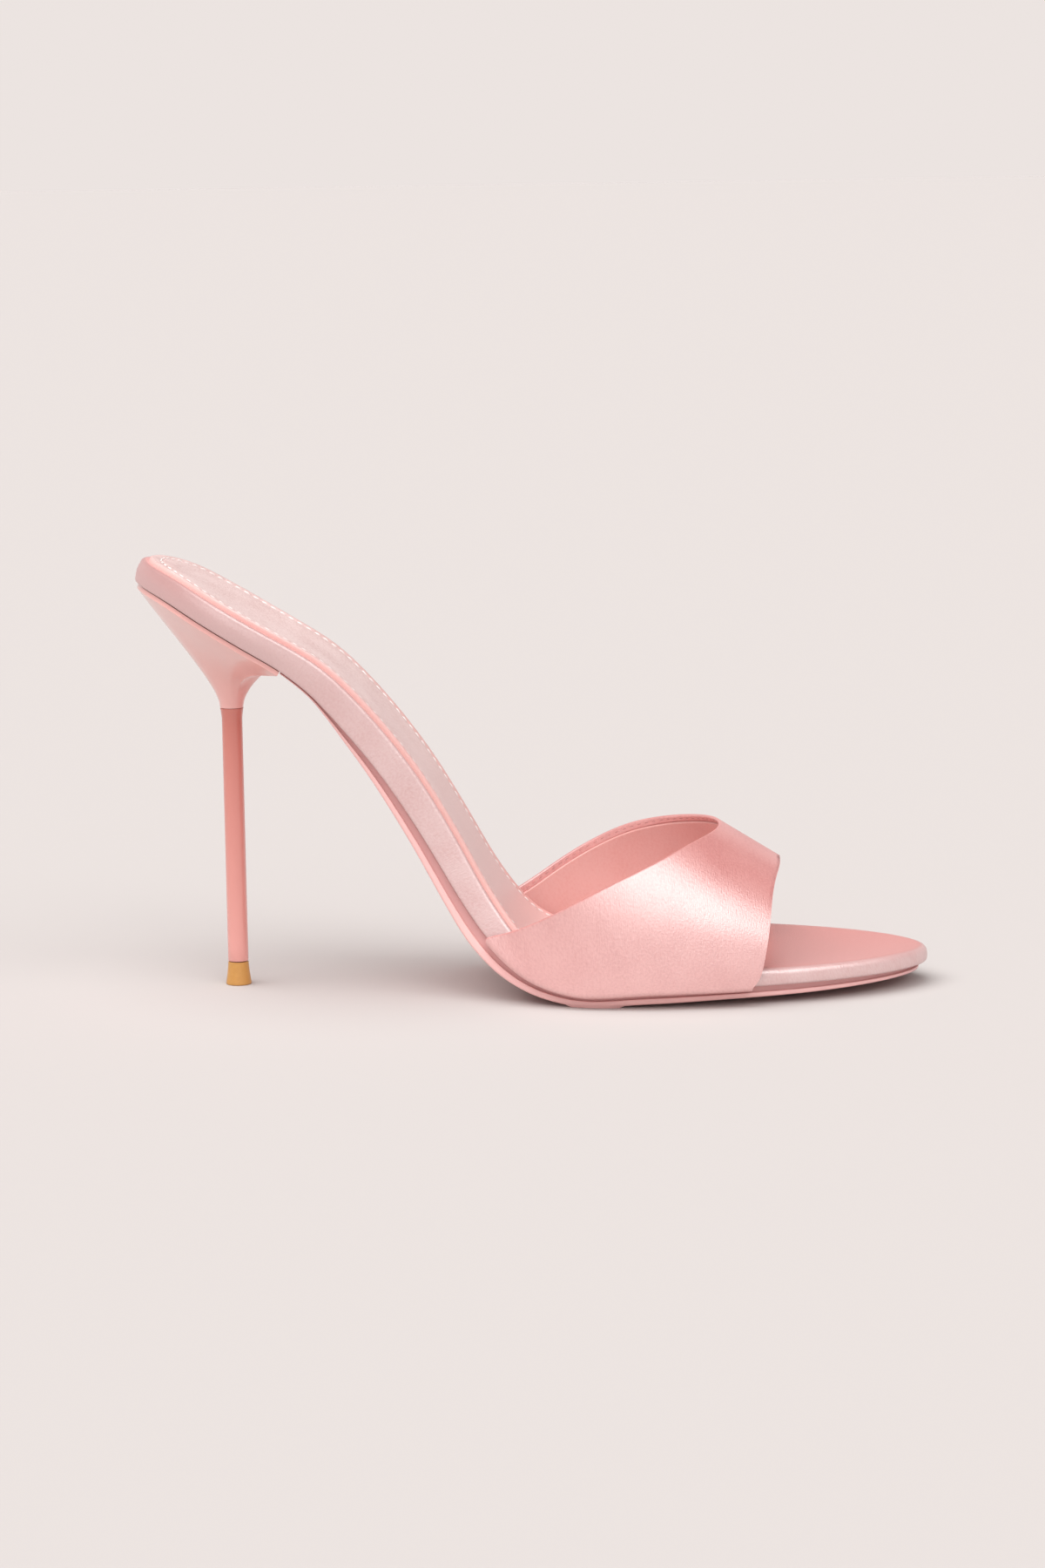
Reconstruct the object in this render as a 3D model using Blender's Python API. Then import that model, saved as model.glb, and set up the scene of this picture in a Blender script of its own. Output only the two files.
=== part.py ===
# Heeled mule, right foot: wrapped platform, padded sock, satin vamp, moulded sole and a pin heel.
# Metres, +Z up. +X runs from the heel to the toe and +Y to the inner side of the foot.
import math

import bmesh
import bpy
import numpy as np

# Last and foot bed
shoe_length = 0.2121       # back of the foot bed to the tip of the toe, along the floor
seat_height = 0.1182       # foot bed over the floor at the back of the heel seat
toe_spring = 0.0012        # rise of the foot bed from the ball to the toe
seat_width = 0.0502
waist_width = 0.0458
ball_width = 0.0760
seat_round = 0.0286        # length over which the back of the seat rounds in
toe_round = 0.0800         # length over which the toe narrows
toe_power = 0.56           # 0.5 is an ellipse, more is pointed
seat_dish = 0.0010         # hollow across the middle of the foot bed

# Platform, sock and sole
platform_thickness = 0.0080
platform_edge = 0.0009     # rounding of the wrapped edge
platform_bulge = 0.0003    # fullness of the wrapped side
sock_thickness = 0.0009
sock_inset = 0.0022        # platform's edge to the sock's edge
sock_front = 0.735         # share of the shoe's length where the sock ends, under the vamp
sole_thickness = 0.0035
sole_inset = 0.0016        # platform's edge to the sole's lower band
sole_groove = 0.0009       # depth of the sole's recessed upper band
sole_edge = 0.0008         # rounding at the tread
tread_press = 0.0005       # tread this near to the floor is flat on it
fit_gap = 0.0003           # clearance between pieces that touch

# Distance between the cross-sections that each layer is built from
platform_step = 0.0056
sock_step = 0.0060
sole_step = 0.0054
heel_step = 0.0035

# Vamp
vamp_wall = 0.0016
vamp_turn = 0.0006         # height over the platform's lower edge where the vamp begins to turn under it
margin_wall = 0.0006       # thinned margin of the vamp, lasted under the platform
margin_reach = 0.0021      # how far that margin reaches in from the platform's edge
instep_height = 0.0438     # top of the vamp's topline over the floor
instep_slope = 0.62        # fall of the instep line towards the toe
instep_shift = 0.0015      # the instep's crest leans to the inner side
arch_power = 2.15          # 2 is an ellipse, more is squarer

# Heel
stem_setback = 0.0232      # stem's axis, in front of the back of the foot bed
stem_diameter = 0.0056
neck_diameter = 0.0064     # heel block and stem where they meet
neck_taper = 0.0040        # height over which the top of the stem widens to the neck
stem_joint = 0.0768        # height of the joint between the heel block and the stem
breast_setback = 0.0426    # tips of the heel's wings, in front of the back of the foot bed
breast_bow = 0.0015        # hollow of the breast line between its wings
heel_inset = 0.0006        # platform's edge to the heel's edge
heel_lip = 0.0012          # upright edge of the heel under the platform
tip_height = 0.0063
tip_diameter = 0.0070
tip_chamfer = 0.0003

# Share of the shoe's length, then foot-bed height as a share of its fall from seat to ball, the share
# of the toe spring, and the platform's and sole's thickness as shares of their named thickness.
bed_rows = [
    # along  fall   spring  platform  sole
    (0.000, 1.000, 0.00, 0.80, 0.17),
    (0.048, 0.964, 0.00, 0.80, 0.17),
    (0.100, 0.905, 0.00, 0.80, 0.17),
    (0.149, 0.848, 0.00, 0.81, 0.17),
    (0.188, 0.804, 0.00, 0.83, 0.17),
    (0.221, 0.765, 0.00, 0.90, 0.20),
    (0.248, 0.724, 0.00, 0.94, 0.24),
    (0.274, 0.673, 0.00, 0.98, 0.38),
    (0.301, 0.614, 0.00, 1.00, 0.58),
    (0.354, 0.478, 0.00, 1.00, 0.87),
    (0.407, 0.304, 0.00, 0.94, 1.06),
    (0.433, 0.209, 0.00, 0.89, 1.17),
    (0.460, 0.128, 0.00, 0.84, 1.32),
    (0.480, 0.078, 0.00, 0.78, 1.28),
    (0.504, 0.038, 0.00, 0.72, 1.14),
    (0.532, 0.013, 0.00, 0.66, 1.06),
    (0.569, 0.000, 0.00, 0.63, 1.00),
    (0.640, 0.000, 0.70, 0.62, 1.00),
    (0.740, 0.000, 0.90, 0.60, 0.88),
    (0.850, 0.000, 0.95, 0.58, 0.78),
    (1.000, 0.000, 1.00, 0.56, 0.55),
]

# Half widths between the rounded seat and the toe, each as a share of the width that its row follows.
width_rows = [
    # along  follows      outer  inner
    (0.135, seat_width, 0.500, 0.500),
    (0.165, seat_width, 0.496, 0.493),
    (0.205, seat_width, 0.479, 0.470),
    (0.290, waist_width, 0.514, 0.496),
    (0.350, waist_width, 0.507, 0.488),
    (0.395, waist_width, 0.514, 0.497),
    (0.430, waist_width, 0.544, 0.531),
    (0.460, waist_width, 0.593, 0.580),
    (0.490, ball_width, 0.401, 0.393),
    (0.525, ball_width, 0.449, 0.441),
    (0.570, ball_width, 0.487, 0.480),
    (0.620, ball_width, 0.500, 0.500),
]

# Edges of the vamp as shares of the shoe's length. A level of -1 is where it turns under the platform,
# 0 the foot bed and 1 the crest of the instep.
vamp_rows = [
    # level  outer_back  outer_front  inner_back  inner_front
    (-1.00, 0.439, 0.773, 0.438, 0.788),
    (-0.85, 0.446, 0.779, 0.444, 0.791),
    (-0.50, 0.458, 0.784, 0.455, 0.796),
    (0.00, 0.473, 0.787, 0.468, 0.800),
    (0.12, 0.494, 0.789, 0.485, 0.801),
    (0.24, 0.524, 0.792, 0.510, 0.802),
    (0.40, 0.578, 0.795, 0.554, 0.804),
    (0.55, 0.629, 0.797, 0.604, 0.806),
    (0.70, 0.668, 0.799, 0.655, 0.807),
    (0.85, 0.701, 0.803, 0.699, 0.809),
    (1.00, 0.734, 0.811, 0.734, 0.811),
]

# Heel block: direction round the stem from the front, slope in degrees of the flank where it meets the
# seat, and the two handles of the flank's curve as shares of its span.
flank_rows = [
    # turn  slope  low   high
    (0.0, 20.0, 0.30, 0.25),
    (50.0, 4.0, 0.42, 0.55),
    (90.0, 34.0, 0.34, 0.42),
    (180.0, 60.0, 0.16, 0.34),
]


def curve_through(rows, column):
    # A smooth curve through one column of a table, flat where the column turns and never overshooting.
    x = np.array([row[0] for row in rows], float)
    y = np.array([row[column] for row in rows], float)
    step = np.diff(x)
    rise = np.diff(y) / step
    slope = np.zeros(len(x))
    slope[0] = rise[0]
    slope[-1] = rise[-1]
    for i in range(1, len(x) - 1):
        if rise[i - 1] * rise[i] > 0:
            near = 2 * step[i] + step[i - 1]
            far = step[i] + 2 * step[i - 1]
            slope[i] = (near + far) / (near / rise[i - 1] + far / rise[i])

    def value(at):
        at = min(max(at, x[0]), x[-1])
        i = min(int(np.searchsorted(x, at, side="right")) - 1, len(x) - 2)
        t = (at - x[i]) / step[i]
        ahead = t * t * (3 - 2 * t)
        turn_in = t * (1 - t) ** 2
        turn_out = t * t * (t - 1)
        bend = step[i] * (turn_in * slope[i] + turn_out * slope[i + 1])
        return y[i] + (y[i + 1] - y[i]) * ahead + bend

    return value


fall = curve_through(bed_rows, 1)
spring = curve_through(bed_rows, 2)
platform_share = curve_through(bed_rows, 3)
sole_share = curve_through(bed_rows, 4)
outer_width = curve_through([(row[0], row[1] * row[2]) for row in width_rows], 1)
inner_width = curve_through([(row[0], row[1] * row[3]) for row in width_rows], 1)

# The lowest point of the foot bed is what lies under it at the ball.
ball_row = next(row for row in bed_rows if row[1] == 0.0)
bed_lowest = platform_thickness * ball_row[3] + fit_gap + sole_thickness * ball_row[4]


def bed_height(x):
    share = x / shoe_length
    return bed_lowest + (seat_height - bed_lowest) * fall(share) + toe_spring * spring(share)


# The foot bed's centre line as seen from the side, stepped finely, with the length along it.
line_x = np.linspace(0.0, shoe_length, 600)
line_z = np.array([bed_height(x) for x in line_x])
line_s = np.concatenate([[0.0], np.cumsum(np.hypot(np.diff(line_x), np.diff(line_z)))])
line_slope = np.arctan(np.gradient(line_z, line_x))
bed_length = float(line_s[-1])


def along(x):
    # Length along the foot bed at a distance from the back of the seat.
    return float(np.interp(x, line_x, line_s))


def place(s, y, h):
    # A point by its length along the foot bed, its side and its height square to the bed.
    x = float(np.interp(s, line_s, line_x))
    z = float(np.interp(s, line_s, line_z))
    slope = float(np.interp(s, line_s, line_slope))
    past = s - min(max(s, 0.0), bed_length)
    x += past * math.cos(slope) - h * math.sin(slope)
    z += past * math.sin(slope) + h * math.cos(slope)
    return (x, y, z)


def half_width(s, side):
    # Half the foot bed's width on one side: -1 is the outer side, 1 the inner side.
    x = float(np.interp(s, line_s, line_x))
    width = outer_width if side < 0 else inner_width
    if x < seat_round:
        back = 1 - x / seat_round
        return width(seat_round / shoe_length) * math.sqrt(max(0.0, 1 - back * back))
    if shoe_length - x < toe_round:
        ahead = 1 - (shoe_length - x) / toe_round
        return width(1 - toe_round / shoe_length) * max(0.0, 1 - ahead * ahead) ** toe_power
    return width(x / shoe_length)


def rim(s, side, inset):
    # A point of the outline, moved square to the outline into the foot bed.
    if half_width(s, side) < 1e-6:
        return (s + inset, 0.0) if s < bed_length / 2 else (s - inset, 0.0)
    reach = 0.0002
    before = max(0.0, s - reach)
    after = min(bed_length, s + reach)
    run = after - before
    rise = half_width(after, side) - half_width(before, side)
    length = math.hypot(run, rise)
    return s + inset * rise / length, side * (half_width(s, side) - inset * run / length)


def seat_stations(steps):
    return [along(seat_round * (1 - math.cos(math.pi / 2 * i / steps))) for i in range(steps)]


def toe_stations(steps):
    turns = [math.pi / 2 * i / steps for i in range(steps, -1, -1)]
    return [along(shoe_length - toe_round * (1 - math.cos(turn))) for turn in turns]


def middle_stations(start, end, step):
    count = max(1, round((end - start) / step))
    return [start + (end - start) * i / count for i in range(count)]


def platform_depth(s):
    return platform_thickness * platform_share(float(np.interp(s, line_s, line_x)) / shoe_length)


def sole_depth(s):
    return sole_thickness * sole_share(float(np.interp(s, line_s, line_x)) / shoe_length)


def dish(s):
    # Depth of the foot bed's hollow, which fades out where the bed narrows at its ends.
    share = min(1.0, half_width(s, 1) / (seat_width / 2))
    return seat_dish * share * share


across = [-1.0, -0.8, -0.4, 0.0, 0.4, 0.8, 1.0]


def station_loop(s, levels, top_hollow=0.0, bottom_hollow=0.0):
    # One closed loop round a layer: over its top, down its inner side, under it and up its outer side.
    # Levels are (inset, height) from the top down, and a hollow lowers the middle of its row.
    def row(level, hollow, shares):
        start = rim(s, -1, level[0])
        end = rim(s, 1, level[0])
        points = []
        for share in shares:
            t = (share + 1) / 2
            at = start[0] + (end[0] - start[0]) * t
            y = start[1] + (end[1] - start[1]) * t
            points.append(place(at, y, level[1] - hollow * (1 - share * share)))
        return points

    loop = row(levels[0], top_hollow, across)
    for level in levels[1:-1]:
        at, y = rim(s, 1, level[0])
        loop.append(place(at, y, level[1]))
    loop += row(levels[-1], bottom_hollow, across[::-1])
    for level in levels[-2:0:-1]:
        at, y = rim(s, -1, level[0])
        loop.append(place(at, y, level[1]))
    return loop


def make_material(name, colour, roughness, metallic=0.0, sheen=0.0):
    material = bpy.data.materials.new(name)
    material.use_nodes = True
    surface = material.node_tree.nodes["Principled BSDF"]
    surface.inputs["Base Color"].default_value = (*colour, 1.0)
    surface.inputs["Roughness"].default_value = roughness
    surface.inputs["Metallic"].default_value = metallic
    surface.inputs["Sheen Weight"].default_value = sheen
    return material


def make_object(name, mesh_data, material, smooth_angle=35.0):
    # Merges what meets, turns the faces outwards and hands the shape to the scene.
    bmesh.ops.remove_doubles(mesh_data, verts=mesh_data.verts[:], dist=2e-6)
    bmesh.ops.recalc_face_normals(mesh_data, faces=mesh_data.faces[:])
    mesh = bpy.data.meshes.new(name)
    mesh_data.to_mesh(mesh)
    mesh_data.free()
    mesh.shade_smooth()
    mesh.set_sharp_from_angle(angle=math.radians(smooth_angle))
    mesh.materials.append(material)
    obj = bpy.data.objects.new(name, mesh)
    bpy.context.scene.collection.objects.link(obj)
    return obj


def skin(loops, closed_ends=(True, True)):
    # Faces between loops of one count, with the first and last loops filled where they are not points.
    data = bmesh.new()
    rings = [[data.verts.new(point) for point in loop] for loop in loops]
    count = len(loops[0])
    for low, high in zip(rings, rings[1:]):
        for i in range(count):
            j = (i + 1) % count
            data.faces.new((low[i], low[j], high[j], high[i]))
    for ring, closed in ((rings[0], closed_ends[0]), (rings[-1], closed_ends[1])):
        if closed:
            data.faces.new(ring)
    return data


def build_platform(material):
    stations = seat_stations(8)
    stations += middle_stations(along(seat_round), along(shoe_length - toe_round), platform_step)
    stations += toe_stations(12)
    loops = []
    for s in stations:
        depth = platform_depth(s)
        levels = [
            (platform_edge * 1.6, 0.0),
            (platform_edge * 0.4, -platform_edge * 0.35),
            (0.0, -platform_edge * 1.2),
            (-platform_bulge, -depth * 0.62),
            (platform_edge * 0.8, -depth),
        ]
        loops.append(station_loop(s, levels, dish(s)))
    return make_object("platform", skin(loops, (False, False)), material)


def build_sock(material):
    end = along(sock_front * shoe_length)
    stations = seat_stations(8) + middle_stations(along(seat_round), end, sock_step) + [end]
    floor = fit_gap
    roof = fit_gap + sock_thickness
    loops = []
    for s in stations:
        levels = [
            (sock_inset + sock_thickness * 0.8, roof),
            (sock_inset, roof - sock_thickness * 0.4),
            (sock_inset, floor),
        ]
        loops.append(station_loop(s, levels, dish(s), dish(s)))
    return make_object("insole_sock", skin(loops, (False, True)), material)


def build_sole(material):
    start = along(breast_setback + fit_gap)
    stations = middle_stations(start, along(shoe_length - toe_round), sole_step) + toe_stations(12)
    loops = []
    for s in stations:
        top = -platform_depth(s) - fit_gap
        depth = sole_depth(s)
        # The band and its groove narrow to nothing where the sole thins at the heel's breast.
        share = min(1.0, depth / sole_thickness)
        inset = sole_inset + (1 - share) * sole_inset
        levels = [
            (inset + sole_groove, top),
            (inset + sole_groove, top - depth * 0.46),
            (inset, top - depth * 0.54),
            (inset, top - depth + sole_edge * share),
            (inset + sole_edge * 0.4, top - depth + sole_edge * 0.3 * share),
            (inset + sole_edge * 1.6, top - depth),
        ]
        loop = station_loop(s, levels)
        loops.append([(x, y, 0.0 if z < tread_press else z) for x, y, z in loop])
    return make_object("outsole", skin(loops, (True, False)), material)


def crest_height(x):
    # The instep line over the crest of the vamp, carried back over its open throat.
    return instep_height + instep_slope * (vamp_rows[-1][1] * shoe_length - x)


def under_height(x, drop):
    # Height of a surface that lies this far below the platform, at a distance along the floor.
    s = along(x)
    for step in range(8):
        edge_x, _, edge_z = place(s, 0.0, -platform_depth(s) - drop)
        s += x - edge_x
    return edge_z


def station_beside(x, z):
    # Length along the foot bed of the station square to which a point beside the platform lies.
    s = along(x)
    for step in range(6):
        near_x, _, near_z = place(s, 0.0, 0.0)
        slope = float(np.interp(s, line_s, line_slope))
        s += (x - near_x) * math.cos(slope) + (z - near_z) * math.sin(slope)
    return s


def beside_platform(x, z, side, out):
    # A point this far outside the platform's outline, or under it where out is negative.
    return (x, side * (half_width(station_beside(x, z), side) + out), z)


def vamp_point(x, side, level, grow):
    # A point of the vamp's skin. The level runs from -1 where it turns under, through 0 at the foot bed,
    # to 1 at the crest, and grow is how far the skin stands outside the platform.
    bed = bed_height(x)
    if level < 0:
        return beside_platform(x, bed + (bed - under_height(x, -vamp_turn)) * level, side, grow)
    crest = crest_height(x) + grow - (platform_bulge + fit_gap + vamp_wall)
    arch = max(0.0, 1 - level ** arch_power) ** (1 / arch_power)
    y = instep_shift * level + side * (half_width(along(x), side) + grow) * arch
    return (x, y, bed + (crest - bed) * level)


def build_vamp(material):
    outer_back = curve_through(vamp_rows, 1)
    outer_front = curve_through(vamp_rows, 2)
    inner_back = curve_through(vamp_rows, 3)
    inner_front = curve_through(vamp_rows, 4)
    side_levels = [-1.0, -0.85, -0.5, -0.25]
    turns = 14
    arch_levels = [math.sin(math.pi / 2 * i / turns) ** (2 / arch_power) for i in range(turns + 1)]
    levels = side_levels + arch_levels
    steps = 16
    inner_grow = platform_bulge + fit_gap
    outer_grow = inner_grow + vamp_wall

    def stations(side, level):
        # Distances from the back of the seat, from the vamp's topline to its front edge at one level.
        back = (outer_back if side < 0 else inner_back)(level) * shoe_length
        front = (outer_front if side < 0 else inner_front)(level) * shoe_length
        return [back + (front - back) * i / steps for i in range(steps + 1)]

    def half(side, grow, margin):
        # Rows of one skin, from the edge of its lasting margin up to the crest.
        rows = []
        edge = stations(side, -1.0)
        for out, drop in margin:
            rows.append([beside_platform(x, under_height(x, drop), side, out) for x in edge])
        for level in levels:
            rows.append([vamp_point(x, side, level, grow) for x in stations(side, level)])
        return rows

    def sheet(grow, margin):
        return half(-1, grow, margin) + half(1, grow, margin)[-2::-1]

    # Each skin's margin from its edge: distance outside the platform, and drop below it.
    outer_margin = [
        (-margin_reach, fit_gap + margin_wall),
        (outer_grow - margin_wall, fit_gap + margin_wall / 2),
    ]
    inner_margin = [(-margin_reach, fit_gap), (inner_grow, fit_gap)]
    data = bmesh.new()
    outside = [[data.verts.new(point) for point in row] for row in sheet(outer_grow, outer_margin)]
    inside = [[data.verts.new(point) for point in row] for row in sheet(inner_grow, inner_margin)]
    for sheet_rows in (outside, inside):
        for low, high in zip(sheet_rows, sheet_rows[1:]):
            for i in range(steps):
                data.faces.new((low[i], low[i + 1], high[i + 1], high[i]))
    for i in range(steps):
        data.faces.new((outside[0][i], outside[0][i + 1], inside[0][i + 1], inside[0][i]))
        data.faces.new((outside[-1][i], outside[-1][i + 1], inside[-1][i + 1], inside[-1][i]))
    for j in range(len(outside) - 1):
        data.faces.new((outside[j][0], outside[j + 1][0], inside[j + 1][0], inside[j][0]))
        data.faces.new((outside[j][-1], outside[j + 1][-1], inside[j + 1][-1], inside[j][-1]))
    return make_object("vamp", data, material)


def heel_seat_loop():
    # The heel's top edge under the platform: round the seat, then across the breast from wing to wing.
    end = along(breast_setback)
    stations = seat_stations(9) + middle_stations(along(seat_round), end, heel_step) + [end]
    outer = []
    for s in stations[1:]:
        at, y = rim(s, -1, platform_edge * 0.8 + heel_inset)
        outer.append((at, y))
    back = rim(0.0, -1, platform_edge * 0.8 + heel_inset)
    inner = []
    for s in stations[1:]:
        at, y = rim(s, 1, platform_edge * 0.8 + heel_inset)
        inner.append((at, y))
    breast = []
    steps = 8
    for i in range(1, steps):
        share = i / steps
        at = inner[-1][0] + (outer[-1][0] - inner[-1][0]) * share
        y = inner[-1][1] + (outer[-1][1] - inner[-1][1]) * share
        breast.append((at - breast_bow * math.sin(math.pi * share), y))
    loop = outer[::-1] + [(back[0], 0.0)] + inner + breast
    top = [place(at, y, -platform_depth(at) - fit_gap) for at, y in loop]
    lip = [place(at, y, -platform_depth(at) - fit_gap - heel_lip) for at, y in loop]
    return top, lip


def build_heel(material):
    seat, lip = heel_seat_loop()
    slope = curve_through(flank_rows, 1)
    low = curve_through(flank_rows, 2)
    high = curve_through(flank_rows, 3)
    radius = neck_diameter / 2
    steps = 12
    columns = []
    for x, y, z in lip:
        turn = math.atan2(y, x - stem_setback)
        aside = abs(math.degrees(turn))
        foot = np.array([stem_setback + radius * math.cos(turn), radius * math.sin(turn), stem_joint])
        top = np.array([x, y, z])
        span = float(np.linalg.norm(top - foot))
        tilt = math.radians(slope(aside))
        out = np.array([math.cos(turn) * math.cos(tilt), math.sin(turn) * math.cos(tilt), math.sin(tilt)])
        first = foot + np.array([0.0, 0.0, span * low(aside)])
        second = top - out * span * high(aside)
        column = []
        for i in range(steps + 1):
            t = i / steps
            ends = (1 - t) ** 3 * foot + t ** 3 * top
            handles = 3 * t * (1 - t) ** 2 * first + 3 * t * t * (1 - t) * second
            column.append(tuple(ends + handles))
        columns.append(column)
    loops = [[column[i] for column in columns] for i in range(steps + 1)] + [seat]
    return make_object("heel", skin(loops), material)


def turned(profile, sides):
    # A turned piece on the stem's axis, from (radius, height) pairs.
    loops = []
    for radius, height in profile:
        turns = [2 * math.pi * i / sides for i in range(sides)]
        loops.append([(stem_setback + radius * math.cos(t), radius * math.sin(t), height) for t in turns])
    return skin(loops)


def build_stem(material):
    radius = stem_diameter / 2
    neck = neck_diameter / 2
    bottom = tip_height + fit_gap
    top = stem_joint - fit_gap
    profile = [
        (radius, bottom),
        (radius, top - neck_taper),
        (radius + (neck - radius) * 0.3, top - neck_taper * 0.5),
        (neck, top),
    ]
    return make_object("heel_stem", turned(profile, 24), material)


def build_tip(material):
    base = tip_diameter / 2
    neck = stem_diameter / 2
    profile = [
        (base - tip_chamfer, 0.0),
        (base, tip_chamfer),
        (base - (base - neck) * 0.55, tip_height * 0.42),
        (neck + (base - neck) * 0.12, tip_height * 0.8),
        (neck, tip_height),
    ]
    return make_object("top_piece", turned(profile, 24), material)


def centre_on_floor(pieces):
    # Moves the finished shoe so that the origin lies on the floor under the middle of its box.
    points = [vertex.co for piece in pieces for vertex in piece.data.vertices]
    middle_x = (min(p.x for p in points) + max(p.x for p in points)) / 2
    middle_y = (min(p.y for p in points) + max(p.y for p in points)) / 2
    for piece in pieces:
        for vertex in piece.data.vertices:
            vertex.co.x -= middle_x
            vertex.co.y -= middle_y


def main():
    for obj in list(bpy.data.objects):
        bpy.data.objects.remove(obj)
    satin = (0.80, 0.42, 0.40)
    pieces = [
        build_sole(make_material("sole_pink", (0.76, 0.44, 0.43), 0.45)),
        build_platform(make_material("wrap_satin", satin, 0.38, sheen=0.4)),
        build_sock(make_material("sock_satin", (0.74, 0.47, 0.45), 0.45, sheen=0.4)),
        build_vamp(make_material("vamp_satin", satin, 0.35, sheen=0.4)),
        build_heel(make_material("heel_pearl", (0.84, 0.45, 0.41), 0.22)),
        build_stem(make_material("stem_lacquer", (0.80, 0.32, 0.29), 0.18)),
        build_tip(make_material("tip_amber", (0.55, 0.29, 0.08), 0.4)),
    ]
    centre_on_floor(pieces)


main()
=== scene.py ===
import math

import bmesh
import bpy
import numpy as np
from mathutils import Matrix, Vector


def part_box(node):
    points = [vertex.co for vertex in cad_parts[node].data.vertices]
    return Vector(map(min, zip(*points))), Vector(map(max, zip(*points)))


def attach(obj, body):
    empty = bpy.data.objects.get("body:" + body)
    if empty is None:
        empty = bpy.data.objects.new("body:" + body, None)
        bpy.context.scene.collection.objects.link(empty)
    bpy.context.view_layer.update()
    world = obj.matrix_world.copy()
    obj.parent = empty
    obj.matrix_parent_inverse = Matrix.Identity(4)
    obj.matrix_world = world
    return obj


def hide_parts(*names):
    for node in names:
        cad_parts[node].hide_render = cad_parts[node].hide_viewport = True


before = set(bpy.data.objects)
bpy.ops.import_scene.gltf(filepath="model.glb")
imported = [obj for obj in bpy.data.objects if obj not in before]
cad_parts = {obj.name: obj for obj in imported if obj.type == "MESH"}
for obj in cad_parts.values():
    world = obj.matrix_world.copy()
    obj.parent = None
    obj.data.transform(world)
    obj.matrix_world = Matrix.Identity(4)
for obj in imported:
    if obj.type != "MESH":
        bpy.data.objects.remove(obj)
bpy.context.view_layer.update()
scene = bpy.context.scene
print("frame loaded")


# Camera, floor and light

tipLow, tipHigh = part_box("top_piece")
tipFoot = Vector(((tipLow.x + tipHigh.x) / 2, (tipLow.y + tipHigh.y) / 2, 0.0))

view = {
    "lens": 91.67,
    "sensor": 36.0,
    "eye": (0.12875, -1.07421, 0.22048),      # from the foot of the heel tip
    "target": (0.07848, 0.01182, 0.05314),
    "roll": 0.87,                             # degrees, the picture turned counter-clockwise
}


def addCamera():
    # The photograph's view: the camera stands low beside the outer side, and is turned a little.
    data = bpy.data.cameras.new("photoCamera")
    data.lens = view["lens"]
    data.sensor_width = view["sensor"]
    data.clip_start = 0.05
    data.clip_end = 200.0
    camera = bpy.data.objects.new("photoCamera", data)
    scene.collection.objects.link(camera)
    eye = tipFoot + Vector(view["eye"])
    ahead = (tipFoot + Vector(view["target"]) - eye).normalized()
    right = ahead.cross(Vector((0, 0, 1))).normalized()
    up = right.cross(ahead)
    roll = math.radians(view["roll"])
    tiltedRight = right * math.cos(roll) - up * math.sin(roll)
    tiltedUp = up * math.cos(roll) + right * math.sin(roll)
    turn = Matrix((tiltedRight, tiltedUp, -ahead)).transposed()
    camera.matrix_world = Matrix.Translation(eye) @ turn.to_4x4()
    scene.camera = camera


addCamera()


studio = {
    "backdrop": (0.838, 0.776, 0.752),
    "floor": (0.534, 0.500, 0.491),
    "floorReach": 60.0,
    "horizon": 0.64,           # brightness of the room near the floor
    "ceiling": 0.12,
    "fade": (0.18, 0.62),      # between these heights the room dims, as the sine of the elevation
    "roomTint": (1.0, 0.985, 0.975),
    "lampTint": (1.0, 0.985, 0.97),
    "lamps": [
        # azimuth from the camera's side towards the toe, elevation and width in degrees, strength
        {"name": "keyLamp", "azimuth": 40, "elevation": 49, "across": 44, "strength": 1.00, "gloss": True},
        {"name": "sideLamp", "azimuth": 2, "elevation": 35, "across": 44, "strength": 0.70, "gloss": True},
        {"name": "topLamp", "azimuth": -70, "elevation": 68, "across": 64, "strength": 3.4, "gloss": False},
    ],
}


def addNode(tree, kind, inputs=None, **settings):
    node = tree.nodes.new(kind)
    for name, value in settings.items():
        setattr(node, name, value)
    for name, value in (inputs or {}).items():
        socket = node.inputs[name]
        if isinstance(value, bpy.types.NodeSocket):
            tree.links.new(value, socket)
        else:
            socket.default_value = value
    return node


def addFloor():
    data = bmesh.new()
    bmesh.ops.create_grid(data, x_segments=2, y_segments=2, size=studio["floorReach"])
    mesh = bpy.data.meshes.new("studioFloor")
    data.to_mesh(mesh)
    data.free()
    floor = bpy.data.objects.new("studioFloor", mesh)
    scene.collection.objects.link(floor)
    material = bpy.data.materials.new("studioPaper")
    material.use_nodes = True
    shader = material.node_tree.nodes["Principled BSDF"]
    shader.inputs["Base Color"].default_value = (*studio["floor"], 1)
    shader.inputs["Roughness"].default_value = 0.9
    shader.inputs["Specular IOR Level"].default_value = 0.0
    mesh.materials.append(material)


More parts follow.
